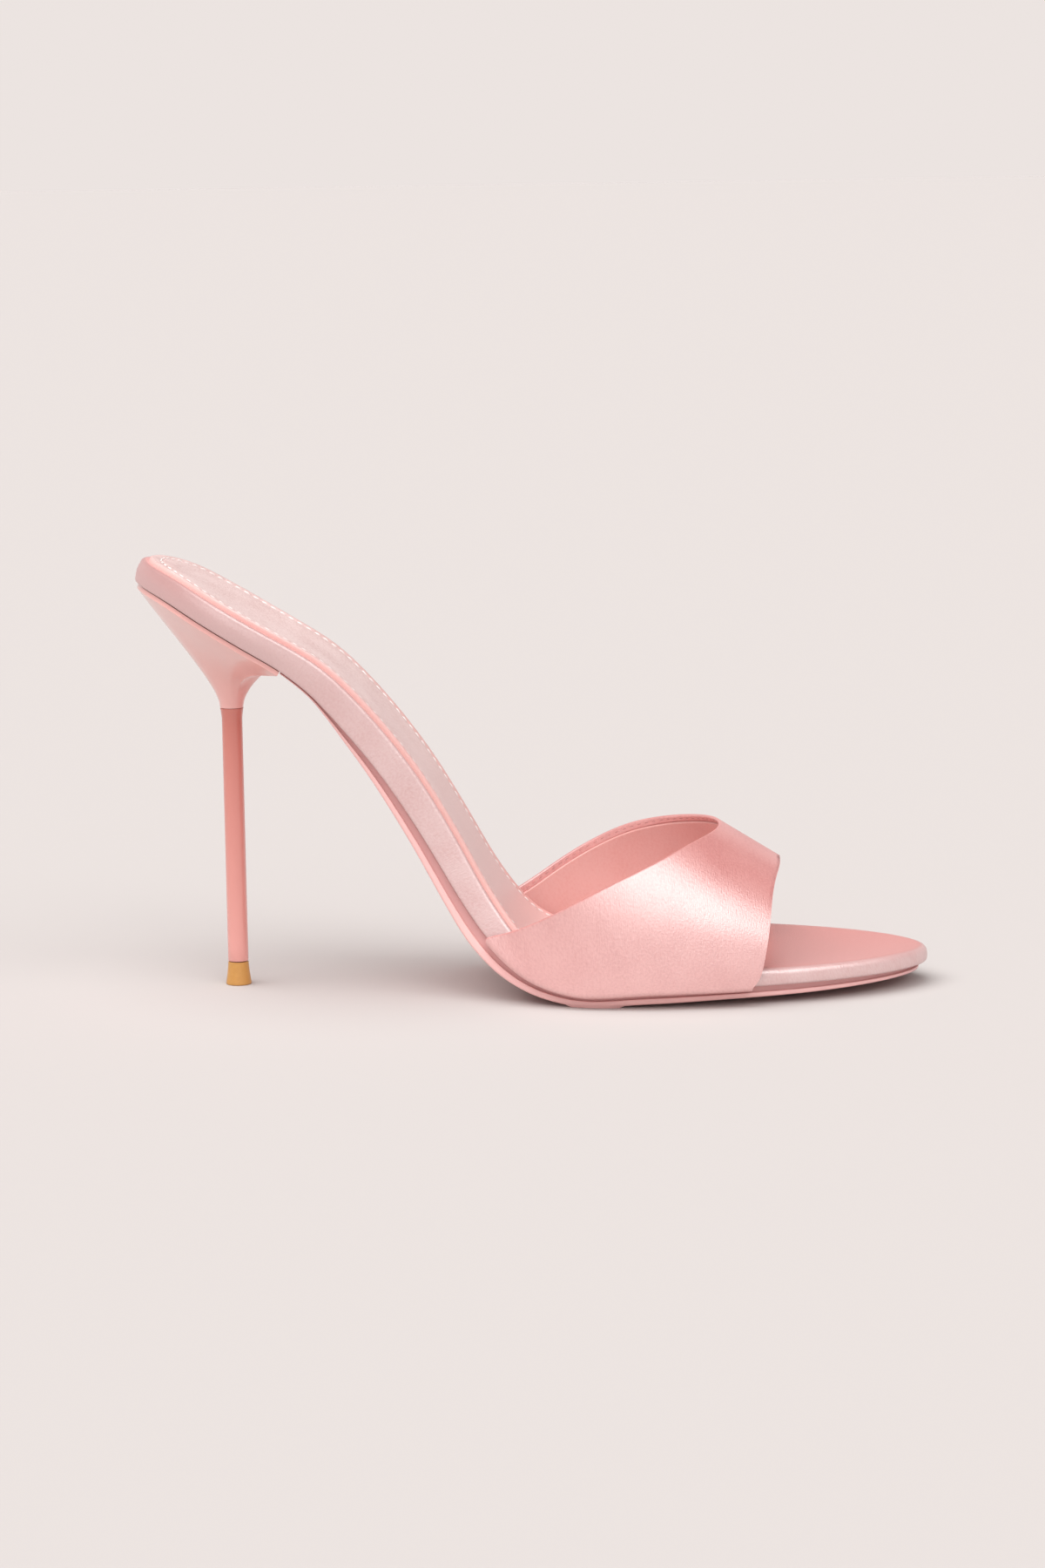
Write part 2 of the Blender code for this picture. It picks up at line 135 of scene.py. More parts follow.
def addWorld():
    # A pale room with a dim ceiling lights the shoe, and the camera sees a plain backdrop.
    world = bpy.data.worlds.new("studioWorld")
    world.use_nodes = True
    tree = world.node_tree
    tree.nodes.clear()
    where = addNode(tree, "ShaderNodeTexCoord")
    split = addNode(tree, "ShaderNodeSeparateXYZ", {"Vector": where.outputs["Generated"]})
    fade = addNode(tree, "ShaderNodeMapRange", {
        "Value": split.outputs["Z"], "From Min": studio["fade"][0], "From Max": studio["fade"][1],
        "To Min": studio["horizon"], "To Max": studio["ceiling"]}, interpolation_type="SMOOTHSTEP")
    room = addNode(tree, "ShaderNodeBackground", {
        "Color": (*studio["roomTint"], 1), "Strength": fade.outputs["Result"]})
    seen = addNode(tree, "ShaderNodeBackground", {"Color": (*studio["backdrop"], 1), "Strength": 1.0})
    ways = addNode(tree, "ShaderNodeLightPath")
    mix = addNode(tree, "ShaderNodeMixShader", {
        0: ways.outputs["Is Camera Ray"], 1: room.outputs[0], 2: seen.outputs[0]})
    addNode(tree, "ShaderNodeOutputWorld", {"Surface": mix.outputs[0]})
    scene.world = world


def addLamps():
    for lamp in studio["lamps"]:
        data = bpy.data.lights.new(lamp["name"], "SUN")
        data.energy = lamp["strength"]
        data.angle = math.radians(lamp["across"])
        data.color = studio["lampTint"]
        azimuth = math.radians(lamp["azimuth"])
        elevation = math.radians(lamp["elevation"])
        toLamp = Vector((math.sin(azimuth) * math.cos(elevation),
                         -math.cos(azimuth) * math.cos(elevation), math.sin(elevation)))
        obj = bpy.data.objects.new(lamp["name"], data)
        obj.rotation_euler = toLamp.to_track_quat("Z", "Y").to_euler()
        obj.location = tipFoot + toLamp
        obj.visible_glossy = lamp["gloss"]
        scene.collection.objects.link(obj)


addFloor()
addWorld()
addLamps()
scene.view_settings.view_transform = "Standard"
print("studio set up")


# Foot bed, the line that every layer follows, in the same sizes as the CAD model

last = {
    "length": 0.2121,
    "seatHeight": 0.1182,
    "toeSpring": 0.0012,
    "seatWidth": 0.0502,
    "waistWidth": 0.0458,
    "ballWidth": 0.0760,
    "seatRound": 0.0286,
    "toeRound": 0.0800,
    "toePower": 0.56,
    "seatDish": 0.0010,
    "platform": 0.0080,        # thickest places of the platform and the sole
    "sole": 0.0035,
    "gap": 0.0003,
    "bulge": 0.0003,
    "stemSetback": 0.0232,
    "softness": 0.0022,        # rounding of the last's lines between their stations
}

bedRows = [
    # along, fall, spring, platform, sole
    (0.000, 1.000, 0.00, 0.80, 0.17),
    (0.048, 0.964, 0.00, 0.80, 0.17),
    (0.100, 0.905, 0.00, 0.80, 0.17),
    (0.149, 0.848, 0.00, 0.81, 0.17),
    (0.188, 0.804, 0.00, 0.83, 0.17),
    (0.221, 0.765, 0.00, 0.90, 0.20),
    (0.248, 0.724, 0.00, 0.94, 0.24),
    (0.274, 0.673, 0.00, 0.98, 0.38),
    (0.301, 0.614, 0.00, 1.00, 0.58),
    (0.354, 0.478, 0.00, 1.00, 0.87),
    (0.407, 0.304, 0.00, 0.94, 1.06),
    (0.433, 0.209, 0.00, 0.89, 1.17),
    (0.460, 0.128, 0.00, 0.84, 1.32),
    (0.480, 0.078, 0.00, 0.78, 1.28),
    (0.504, 0.038, 0.00, 0.72, 1.14),
    (0.532, 0.013, 0.00, 0.66, 1.06),
    (0.569, 0.000, 0.00, 0.63, 1.00),
    (0.640, 0.000, 0.70, 0.62, 1.00),
    (0.740, 0.000, 0.90, 0.60, 0.88),
    (0.850, 0.000, 0.95, 0.58, 0.78),
    (1.000, 0.000, 1.00, 0.56, 0.55),
]

widthRows = [
    # along, follows, outer, inner
    (0.135, "seatWidth", 0.500, 0.500),
    (0.165, "seatWidth", 0.496, 0.493),
    (0.205, "seatWidth", 0.479, 0.470),
    (0.290, "waistWidth", 0.514, 0.496),
    (0.350, "waistWidth", 0.507, 0.488),
    (0.395, "waistWidth", 0.514, 0.497),
    (0.430, "waistWidth", 0.544, 0.531),
    (0.460, "waistWidth", 0.593, 0.580),
    (0.490, "ballWidth", 0.401, 0.393),
    (0.525, "ballWidth", 0.449, 0.441),
    (0.570, "ballWidth", 0.487, 0.480),
    (0.620, "ballWidth", 0.500, 0.500),
]


def curveThrough(places, values, at):
    # A smooth curve through a table's column, flat where the column turns and never overshooting.
    x = np.array(places, float)
    y = np.array(values, float)
    step = np.diff(x)
    rise = np.diff(y) / step
    slope = np.zeros(len(x))
    slope[0] = rise[0]
    slope[-1] = rise[-1]
    for i in range(1, len(x) - 1):
        if rise[i - 1] * rise[i] > 0:
            near = 2 * step[i] + step[i - 1]
            far = step[i] + 2 * step[i - 1]
            slope[i] = (near + far) / (near / rise[i - 1] + far / rise[i])
    at = np.clip(np.asarray(at, float), x[0], x[-1])
    i = np.clip(np.searchsorted(x, at, side="right") - 1, 0, len(x) - 2)
    t = (at - x[i]) / step[i]
    bend = step[i] * (t * (1 - t) ** 2 * slope[i] + t * t * (t - 1) * slope[i + 1])
    return y[i] + (y[i + 1] - y[i]) * t * t * (3 - 2 * t) + bend


def column(rows, index):
    return [row[index] for row in rows]


def soften(values, spacing, reach):
    # Rounds a sampled line, carried on straight past both ends.
    count = int(math.ceil(3 * reach / spacing))
    weights = np.exp(-0.5 * (np.arange(-count, count + 1) * spacing / reach) ** 2)
    before = values[0] + (values[0] - values[1]) * np.arange(count, 0, -1)
    after = values[-1] + (values[-1] - values[-2]) * np.arange(1, count + 1)
    return np.convolve(np.concatenate([before, values, after]), weights / weights.sum(), "valid")


def shapeOfBed():
    length = last["length"]
    spacing = 0.00025
    even = np.arange(0.0, length + spacing / 2, spacing)
    share = even / length
    along = column(bedRows, 0)
    ball = next(row for row in bedRows if row[1] == 0.0)
    lowest = last["platform"] * ball[3] + last["gap"] + last["sole"] * ball[4]
    height = lowest + (last["seatHeight"] - lowest) * curveThrough(along, column(bedRows, 1), share)
    height = height + last["toeSpring"] * curveThrough(along, column(bedRows, 2), share)
    height = soften(height, spacing, last["softness"])
    wide = {}
    for side, index in ((-1, 2), (1, 3)):
        values = [last[row[1]] * row[index] for row in widthRows]
        wide[side] = soften(curveThrough(column(widthRows, 0), values, share), spacing, last["softness"])
    # Stations crowd at both ends, where the outline turns round.
    backTurn = np.linspace(0, math.pi / 2, 160)
    toeTurn = np.linspace(math.pi / 2, 0, 200)
    back = last["seatRound"] * (1 - np.cos(backTurn))
    front = length - last["toeRound"] * (1 - np.cos(toeTurn))
    x = np.unique(np.concatenate([back, np.arange(back[-1], front[0], spacing), front]))
    bed = {"x": x, "z": np.interp(x, even, height)}
    bed["s"] = np.concatenate([[0.0], np.cumsum(np.hypot(np.diff(x), np.diff(bed["z"])))])
    evenSlope = np.arctan(np.gradient(height, spacing))
    bed["slope"] = np.interp(x, even, evenSlope)
    for side in (-1, 1):
        width = np.interp(x, even, wide[side])
        backWidth = np.interp(last["seatRound"], even, wide[side])
        toeWidth = np.interp(length - last["toeRound"], even, wide[side])
        inBack = x < last["seatRound"]
        inToe = x > length - last["toeRound"]
        backShare = np.clip(1 - x / last["seatRound"], 0, 1)
        toeShare = np.clip(1 - (length - x) / last["toeRound"], 0, 1)
        width = np.where(inBack, backWidth * np.sqrt(np.clip(1 - backShare ** 2, 0, 1)), width)
        width = np.where(inToe, toeWidth * np.clip(1 - toeShare ** 2, 0, 1) ** last["toePower"], width)
        bed[side] = width
    bed["platform"] = last["platform"] * curveThrough(along, column(bedRows, 3), x / length)
    bed["sole"] = last["sole"] * curveThrough(along, column(bedRows, 4), x / length)
    bed["length"] = float(bed["s"][-1])
    return bed


bed = shapeOfBed()
ground = tipFoot - Vector((last["stemSetback"], 0, 0))     # the floor under the back of the foot bed


def onFloor(x, y, z):
    # Points of the last, set over its place on the floor.
    return np.stack([x + ground.x, y + ground.y, z], axis=-1)


def byLength(name, s):
    return np.interp(s, bed["s"], bed[name])


def lengthAt(x):
    return np.interp(x, bed["x"], bed["s"])


def place(s, y, h):
    # Points by length along the foot bed, side and height square to the bed.
    s, y, h = np.broadcast_arrays(np.asarray(s, float), np.asarray(y, float), np.asarray(h, float))
    slope = byLength("slope", s)
    past = s - np.clip(s, 0, bed["length"])
    x = byLength("x", s) + past * np.cos(slope) - h * np.sin(slope)
    z = byLength("z", s) + past * np.sin(slope) + h * np.cos(slope)
    return onFloor(x, y, z)


def rim(s, side, inset):
    # The outline moved into the foot bed, as lengths and sides.
    s = np.asarray(s, float)
    reach = 0.00015
    before = np.clip(s - reach, 0, None)
    after = np.clip(s + reach, None, bed["length"])
    run = after - before
    rise = byLength(side, after) - byLength(side, before)
    size = np.hypot(run, rise)
    width = byLength(side, s)
    at = s + inset * rise / size
    y = side * (width - inset * run / size)
    pole = width < 1e-6
    at = np.where(pole, np.where(s < bed["length"] / 2, s + inset, s - inset), at)
    return at, np.where(pole, 0.0, y)


def stations(spacing, start=0.0, end=1.0, backSteps=40, toeSteps=60):
    # Lengths along the foot bed, crowded at the round ends, between two shares of the shoe's length.
    length = last["length"]
    parts = []
    if start == 0.0:
        backTurn = np.linspace(0, math.pi / 2, backSteps + 1)
        parts.append(lengthAt(last["seatRound"] * (1 - np.cos(backTurn))))
        first = lengthAt(last["seatRound"])
    else:
        first = lengthAt(start * length)
    final = lengthAt(length - last["toeRound"]) if end == 1.0 else lengthAt(end * length)
    parts.append(np.linspace(first, final, max(2, int(round((final - first) / spacing)) + 1)))
    if end == 1.0:
        toeTurn = np.linspace(math.pi / 2, 0, toeSteps + 1)
        parts.append(lengthAt(length - last["toeRound"] * (1 - np.cos(toeTurn))))
    s = np.concatenate(parts)
    return s[np.concatenate([[True], np.diff(s) > 1e-7])]


# Mesh making

def addMesh(name, points, faces, cloth=None, sharp=50.0, weld=2e-6):
    mesh = bpy.data.meshes.new(name)
    mesh.from_pydata([tuple(p) for p in points], [], [tuple(f) for f in faces])
    if cloth is not None:
        attribute = mesh.attributes.new("cloth", "FLOAT_VECTOR", "POINT")
        flat = np.zeros((len(points), 3), np.float32)
        flat[:, : cloth.shape[1]] = cloth
        attribute.data.foreach_set("vector", flat.ravel())
    data = bmesh.new()
    data.from_mesh(mesh)
    bmesh.ops.remove_doubles(data, verts=data.verts[:], dist=weld)
    bmesh.ops.dissolve_degenerate(data, edges=data.edges[:], dist=weld / 2)
    bmesh.ops.recalc_face_normals(data, faces=data.faces[:])
    data.to_mesh(mesh)
    data.free()
    mesh.shade_smooth()
    mesh.set_sharp_from_angle(angle=math.radians(sharp))
    obj = bpy.data.objects.new(name, mesh)
    scene.collection.objects.link(obj)
    return obj


def gridFaces(rows, columns, wrap=False, offset=0, flip=False):
    faces = []
    for i in range(rows - 1):
        for j in range(columns if wrap else columns - 1):
            k = (j + 1) % columns
            face = (offset + i * columns + j, offset + i * columns + k,
                    offset + (i + 1) * columns + k, offset + (i + 1) * columns + j)
            faces.append(face[::-1] if flip else face)
    return faces


def finishPiece(obj, material, slot, *nodes):
    obj.data.materials.append(material)
    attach(obj, "root")
    if nodes:
        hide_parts(*nodes)
    return obj


def layerLoop(s, profile, topHollow, bottomHollow, topShares, bottomShares):
    # One loop round a layer at one station, from the middle of its underside. The profile gives
    # (inset, height) from the edge of the underside up to the edge of the top.
    insets = np.array(column(profile, 0))
    heights = np.array(column(profile, 1))
    edges = {}
    for side in (-1, 1):
        at, y = rim(np.full(len(insets), s), side, insets)
        edges[side] = (at, y)

    def between(index, shares, hollow):
        t = (np.asarray(shares) + 1) / 2
        at = edges[-1][0][index] + (edges[1][0][index] - edges[-1][0][index]) * t
        y = edges[-1][1][index] + (edges[1][1][index] - edges[-1][1][index]) * t
        h = heights[index] - hollow * (1 - np.asarray(shares) ** 2)
        return place(at, y, h)

    under = between(0, bottomShares, bottomHollow)
    over = between(-1, topShares, topHollow)
    middle = len(bottomShares) // 2
    inner = place(edges[1][0], edges[1][1], heights)
    outer = place(edges[-1][0], edges[-1][1], heights)
    return np.concatenate([under[middle:-1], inner, over[::-1][1:-1], outer[::-1], under[1:middle]])


def arc(centre, radius, start, end, steps):
    turns = np.radians(np.linspace(start, end, steps))
    return [(centre[0] + radius * math.cos(t), centre[1] + radius * math.sin(t)) for t in turns]


def clothOf(loops):
    # Distances over a piece's surface: round its loops and along them.
    points = np.array(loops)
    around = np.linalg.norm(np.diff(points, axis=1), axis=2)
    around = np.concatenate([np.zeros((len(points), 1)), np.cumsum(around, axis=1)], axis=1)
    along = np.linalg.norm(np.diff(points, axis=0), axis=2).mean(axis=1)
    along = np.concatenate([[0.0], np.cumsum(along)])
    return np.stack([around, np.broadcast_to(along[:, None], around.shape)], axis=-1).reshape(-1, 2)


def addLayer(name, loops, capFirst=False, capLast=False, sharp=50.0, border=None):
    # A border gives each point of a loop its own third cloth value, such as a mask.
    rows = len(loops)
    columns = len(loops[0])
    faces = gridFaces(rows, columns, wrap=True)
    if capFirst:
        faces.append(tuple(range(columns)))
    if capLast:
        faces.append(tuple((rows - 1) * columns + j for j in range(columns)))
    points = np.concatenate(loops)
    cloth = clothOf(loops)
    if border is not None:
        cloth = np.concatenate([cloth, np.tile(border, rows)[:, None]], axis=1)
    return addMesh(name, points, faces, cloth, sharp)


# Shader groups and materials

def newGroup(name, inputs, outputs):
    group = bpy.data.node_groups.new(name, "ShaderNodeTree")
    for label, kind, value in inputs:
        socket = group.interface.new_socket(label, in_out="INPUT", socket_type=kind)
        if value is not None:
            socket.default_value = value
    for label, kind in outputs:
        group.interface.new_socket(label, in_out="OUTPUT", socket_type=kind)
    return group, group.nodes.new("NodeGroupInput"), group.nodes.new("NodeGroupOutput")


def mathNode(tree, operation, *values, clamp=False):
    node = addNode(tree, "ShaderNodeMath", dict(enumerate(values)), operation=operation, use_clamp=clamp)
    return node.outputs[0]


def rangeNode(tree, value, start, end, low=0.0, high=1.0):
    node = addNode(tree, "ShaderNodeMapRange", {
        "Value": value, "From Min": start, "From Max": end, "To Min": low, "To Max": high})
    return node.outputs[0]


def noiseNode(tree, vector, scale, detail, roughness):
    node = addNode(tree, "ShaderNodeTexNoise", {
        "Vector": vector, "Scale": scale, "Detail": detail, "Roughness": roughness})
    return node.outputs["Fac"]


def mixNode(tree, share, first, second):
    node = addNode(tree, "ShaderNodeMix", {0: share, 6: first, 7: second}, data_type="RGBA")
    return node.outputs[2]


def splitNode(tree, vector):
    return addNode(tree, "ShaderNodeSeparateXYZ", {"Vector": vector})


def buildSatinGroup():
    # Satin's long floats: fine streaks along the weft, a short grain across it and slow cloudiness.
    group, start, end = newGroup("satinFloats", [
        ("Vector", "NodeSocketVector", None),
        ("Thread", "NodeSocketFloat", 0.0003),
        ("Stretch", "NodeSocketFloat", 0.16),
        ("Cloud", "NodeSocketFloat", 90.0),
    ], [("Height", "NodeSocketFloat"), ("Tone", "NodeSocketFloat")])
    vector = start.outputs["Vector"]
    density = mathNode(group, "DIVIDE", 1.0, start.outputs["Thread"])
    weft = addNode(group, "ShaderNodeCombineXYZ", {"X": start.outputs["Stretch"], "Y": 1.0, "Z": 1.0})
    stretched = addNode(group, "ShaderNodeVectorMath", {0: vector, 1: weft.outputs[0]}, operation="MULTIPLY")
    streak = noiseNode(group, stretched.outputs[0], density, 2.0, 0.55)
    grain = noiseNode(group, vector, mathNode(group, "MULTIPLY", density, 0.42), 3.0, 0.6)
    cloud = noiseNode(group, vector, start.outputs["Cloud"], 2.0, 0.5)
    height = mathNode(group, "MULTIPLY_ADD", grain, 0.8, streak)
    tone = mathNode(group, "MULTIPLY_ADD", cloud, 0.5, grain)
    tone = mathNode(group, "SUBTRACT", tone, 0.75)
    group.links.new(height, end.inputs["Height"])
    group.links.new(tone, end.inputs["Tone"])
    return group


def buildShadeGroup():
    # Turns a tone about nought into a lighter or deeper version of one colour.
    group, start, end = newGroup("shadeOfColour", [
        ("Colour", "NodeSocketColor", (1, 1, 1, 1)),
        ("Deep", "NodeSocketColor", (0.5, 0.5, 0.5, 1)),
        ("Tone", "NodeSocketFloat", 0.0),
        ("Amount", "NodeSocketFloat", 1.0),
    ], [("Colour", "NodeSocketColor")])
    share = mathNode(group, "MULTIPLY_ADD", start.outputs["Tone"], start.outputs["Amount"], 0.25, clamp=True)
    colour = mixNode(group, share, start.outputs["Colour"], start.outputs["Deep"])
    group.links.new(colour, end.inputs["Colour"])
    return group


satinGroup = buildSatinGroup()
shadeGroup = buildShadeGroup()


def newMaterial(name, settings):
    material = bpy.data.materials.new(name)
    material.use_nodes = True
    tree = material.node_tree
    shader = tree.nodes["Principled BSDF"]
    for label, value in settings.items():
        shader.inputs[label].default_value = value
    return material, tree, shader


def shaded(tree, look, tone):
    node = addNode(tree, "ShaderNodeGroup", {
        "Colour": (*look["colour"], 1), "Deep": (*look["deep"], 1),
        "Tone": tone, "Amount": look["mottle"]}, node_tree=shadeGroup)
    return node.outputs["Colour"]


def finishSurface(tree, shader, colour, strength, distance, height):
    bump = addNode(tree, "ShaderNodeBump", {"Strength": strength, "Distance": distance, "Height": height})
    tree.links.new(colour, shader.inputs["Base Color"])
    tree.links.new(bump.outputs["Normal"], shader.inputs["Normal"])


def satinMaterial(name, look):
    material, tree, shader = newMaterial(name, {
        "Roughness": look["rough"], "IOR": look["ior"], "Sheen Weight": look["sheen"],
        "Sheen Roughness": 0.4, "Sheen Tint": (1.0, 0.86, 0.84, 1)})
    cloth = addNode(tree, "ShaderNodeAttribute", attribute_name="cloth").outputs["Vector"]
    spot = splitNode(tree, cloth)
    floats = addNode(tree, "ShaderNodeGroup", {"Vector": cloth, "Thread": look["thread"]}, node_tree=satinGroup)
    colour = shaded(tree, look, floats.outputs["Tone"])
    if "along" in look:
        # Painted shade: the cloth turns to a deeper colour between two places along the last.
        start, end, other = look["along"]
        colour = mixNode(tree, rangeNode(tree, spot.outputs["Y"], start, end), colour, (*other, 1))
    if "border" in look:
        # Painted shade: outside its stitches the sock is painted a deeper coral along its edge, less round the
        # seat.
        rough = mathNode(tree, "MULTIPLY_ADD", floats.outputs["Tone"], look["borderFray"], spot.outputs["Z"])
        share = rangeNode(tree, rough, *look["borderReach"], look["borderShare"], 0.0)
        waist = rangeNode(tree, spot.outputs["Y"], *look["borderStart"], look["seatShare"], 1.0)
        colour = mixNode(tree, mathNode(tree, "MULTIPLY", share, waist), colour, (*look["border"], 1))
    if "top" in look:
        # Painted shade: the top of the platform is painted deeper than its side, deepest on the toe.
        toe = rangeNode(tree, spot.outputs["Y"], *look["toeStart"])
        flat = mixNode(tree, toe, (*look["top"], 1), (*look["toe"], 1))
        colour = mixNode(tree, spot.outputs["Z"], colour, flat)
    finishSurface(tree, shader, colour, look["bump"], look["thread"], floats.outputs["Height"])
    return material


def plainMaterial(name, look):
    material, tree, shader = newMaterial(name, {
        "Roughness": look["rough"], "Coat Weight": look["coat"], "Coat Roughness": 0.10,
        "Coat IOR": 1.7, "Sheen Weight": look["sheen"]})
    where = addNode(tree, "ShaderNodeTexCoord").outputs["Object"]
    grain = noiseNode(tree, where, look["grain"], 4.0, 0.6)
    colour = shaded(tree, look, mathNode(tree, "SUBTRACT", grain, 0.5))
    if "recessShade" in look:
        # Painted shade: the sole's recessed band is painted darker, for the shade that falls in it.
        cloth = addNode(tree, "ShaderNodeAttribute", attribute_name="cloth").outputs["Vector"]
        colour = mixNode(tree, splitNode(tree, cloth).outputs["Z"], colour, (*look["recessShade"], 1))
    if "neck" in look:
        # Painted shade: the lacquer is painted deeper towards the neck, in the shade of the heel block.
        rise = rangeNode(tree, splitNode(tree, where).outputs["Z"], *look["neckShadeRise"])
        colour = mixNode(tree, rise, colour, (*look["neck"], 1))
    finishSurface(tree, shader, colour, look["bump"], 0.0002, grain)
    return material


satinLook = {
    "colour": (0.77, 0.31, 0.29), "deep": (0.60, 0.16, 0.15), "mottle": 2.2,
    "thread": 0.0003, "bump": 0.32, "ior": 4.0, "rough": 0.37, "sheen": 0.12,
}
satin = satinMaterial("vampSatin", satinLook)
wrapSatin = satinMaterial("wrapSatin", {
    **satinLook, "colour": (0.70, 0.44, 0.43), "deep": (0.60, 0.29, 0.28),
    "rough": 0.36, "ior": 3.2,
    "along": (0.095, 0.025, (0.56, 0.29, 0.28)),        # painted shade, deeper round the seat, paler towards the waist
    # painted shade: the platform's top deeper than its side, deepest on the toe
    "top": (0.80, 0.38, 0.36), "toe": (0.66, 0.26, 0.24), "toeStart": (0.19, 0.21),
})
sockSatin = satinMaterial("sockSatin", {
    **satinLook, "colour": (0.84, 0.62, 0.60), "deep": (0.56, 0.30, 0.28),
    "bump": 0.35, "rough": 0.42, "ior": 2.5,
    "along": (0.060, 0.135, (0.74, 0.47, 0.45)),        # painted shade, deeper from the seat to the waist
    # painted shade along the sock's edge, outside its stitches, weaker round the seat
    "border": (0.80, 0.40, 0.37), "borderReach": (0.0018, 0.0030), "borderFray": 0.0030,
    "borderShare": 0.8, "borderStart": (0.045, 0.085), "seatShare": 0.12,
})
liningCloth = satinMaterial("liningCloth", {
    **satinLook, "colour": (0.76, 0.42, 0.39), "deep": (0.72, 0.34, 0.31),
    "ior": 1.9, "rough": 0.45, "bump": 0.05, "sheen": 0.2,
})
# Painted shade: the sock's edge strip is a deeper coral than the sock's top.
edgeShadeCoral = plainMaterial("edgeShadeCoral", {
    "colour": (0.80, 0.50, 0.47), "deep": (0.72, 0.36, 0.33), "grain": 1800, "mottle": 0.5,
    "bump": 0.1, "rough": 0.5, "coat": 0.0, "sheen": 0.2,
})
threadPale = plainMaterial("threadPale", {
    "colour": (0.96, 0.88, 0.86), "deep": (0.74, 0.60, 0.58), "grain": 4000, "mottle": 0.8,
    "bump": 0.3, "rough": 0.35, "coat": 0.3, "sheen": 0.3,
})
threadRose = plainMaterial("threadRose", {
    "colour": (0.60, 0.30, 0.29), "deep": (0.46, 0.20, 0.19), "grain": 4000, "mottle": 0.8,
    "bump": 0.3, "rough": 0.5, "coat": 0.0, "sheen": 0.2,
})
solePink = plainMaterial("solePink", {
    "colour": (0.95, 0.56, 0.54), "deep": (0.89, 0.48, 0.46), "grain": 500, "mottle": 0.5,
    # painted shade in the recessed band
    "bump": 0.06, "rough": 0.42, "coat": 0.15, "sheen": 0.0, "recessShade": (0.72, 0.38, 0.37),
})
heelPearl = plainMaterial("heelPearl", {
    "colour": (0.88, 0.47, 0.43), "deep": (0.84, 0.40, 0.37), "grain": 300, "mottle": 0.4,
    "bump": 0.02, "rough": 0.34, "coat": 0.8, "sheen": 0.0,
})
stemLacquer = plainMaterial("stemLacquer", {
    "colour": (0.80, 0.36, 0.32), "deep": (0.76, 0.31, 0.28), "grain": 300, "mottle": 0.3,
    "bump": 0.01, "rough": 0.25, "coat": 0.6, "sheen": 0.0,
    # painted shade, deeper towards the neck
    "neck": (0.62, 0.19, 0.15), "neckShadeRise": (0.010, 0.072),
})
tipAmber = plainMaterial("tipAmber", {
    "colour": (0.60, 0.30, 0.08), "deep": (0.50, 0.23, 0.05), "grain": 900, "mottle": 0.9,
    "bump": 0.08, "rough": 0.42, "coat": 0.1, "sheen": 0.0,
})
print("materials ready")


# Platform, wrapped in satin

wrap = {
    "edge": 0.0010,                 # rounding of the top edge
    "toeEdge": 0.0021,              # the same at the toe
    "toeStart": (0.195, 0.220),
    "lowerEdge": 0.0008,
    "seatFullness": 0.0003,         # bow of the side, round the seat and along the waist
    "waistFullness": 0.00006,
    "waistStart": (0.045, 0.075),
    "spacing": 0.0014,
}


def buildWrap():
    loops = []
    topShares = np.linspace(-1, 1, 25)
    bottomShares = np.linspace(-1, 1, 9)
    for s in stations(wrap["spacing"]):
        depth = float(byLength("platform", s))
        fade = min(1.0, float(byLength(1, s)) / (last["seatWidth"] / 2))
        edge = float(np.interp(s, wrap["toeStart"], (wrap["edge"], wrap["toeEdge"])))
        low = wrap["lowerEdge"]
        full = float(np.interp(s, wrap["waistStart"], (wrap["seatFullness"], wrap["waistFullness"])))
        profile = arc((low, -depth + low), low, 270, 180, 6)
        for t in np.linspace(0, 1, 9)[1:-1]:
            height = -depth + low + (depth - low - edge) * t
            profile.append((-full * math.sin(math.pi * t), height))
        profile += arc((edge, -edge), edge, 180, 90, 9)
        loops.append(layerLoop(s, profile, last["seatDish"] * fade * fade, 0.0, topShares, bottomShares))
    # The mask for the top's painted shade is one over the top and fades out over the last of its rounded edge.
    middle = len(bottomShares) // 2
    side = [0.0] * 13 + [max(0.0, (i - 5) / 3) for i in range(9)]
    mask = [0.0] * middle + side + [1.0] * (len(topShares) - 2) + side[::-1] + [0.0] * (middle - 1)
    obj = addLayer("platformWrap", loops, border=np.array(mask))
    return finishPiece(obj, wrapSatin, "wrap_satin", "platform")


buildWrap()
print("platform wrapped")


# Padded sock, its edge strip painted in coral shade, and its stitching

sock = {
    "inset": 0.0022,
    "thickness": 0.0009,
    "front": 0.735,             # share of the shoe's length
    "stitchInset": 0.0030,      # from the sock's edge
    "trough": 0.00028,          # depth and width of the channel under the stitches
    "troughWidth": 0.00055,
    "crown": 0.00025,           # rise inside the stitches, and how fast it comes
    "crownReach": 0.0035,
    "lip": 0.0001,              # rise outside the stitches, its place and its width
    "lipInset": 0.0014,
    "lipWidth": 0.0009,
    "foot": 0.00030,
    "edge": [(0.00022, -0.00042), (0.00026, -0.00020), (0.00034, -0.00008)],      # inset, and height from the top
    "insets": [0.00045, 0.0007, 0.0010, 0.0014, 0.0018, 0.0021, 0.0024, 0.0027,
               0.0030, 0.0033, 0.0036, 0.0040, 0.0046, 0.0056, 0.0070],
    "spacing": 0.0014,
}


def sockRise(fromEdge):
    # Height of the sock's top over its edge, at a distance in from that edge.
    inside = fromEdge - sock["stitchInset"]
    trough = -sock["trough"] * np.exp(-(inside / sock["troughWidth"]) ** 2)
    crown = sock["crown"] * (1 - np.exp(-(np.maximum(inside, 0) / sock["crownReach"])))
    lip = sock["lip"] * np.exp(-((fromEdge - sock["lipInset"]) / sock["lipWidth"]) ** 2)
    return trough + crown + lip


def sockDish(s):
    share = np.minimum(1.0, byLength(1, s) / (last["seatWidth"] / 2))
    return last["seatDish"] * share * share


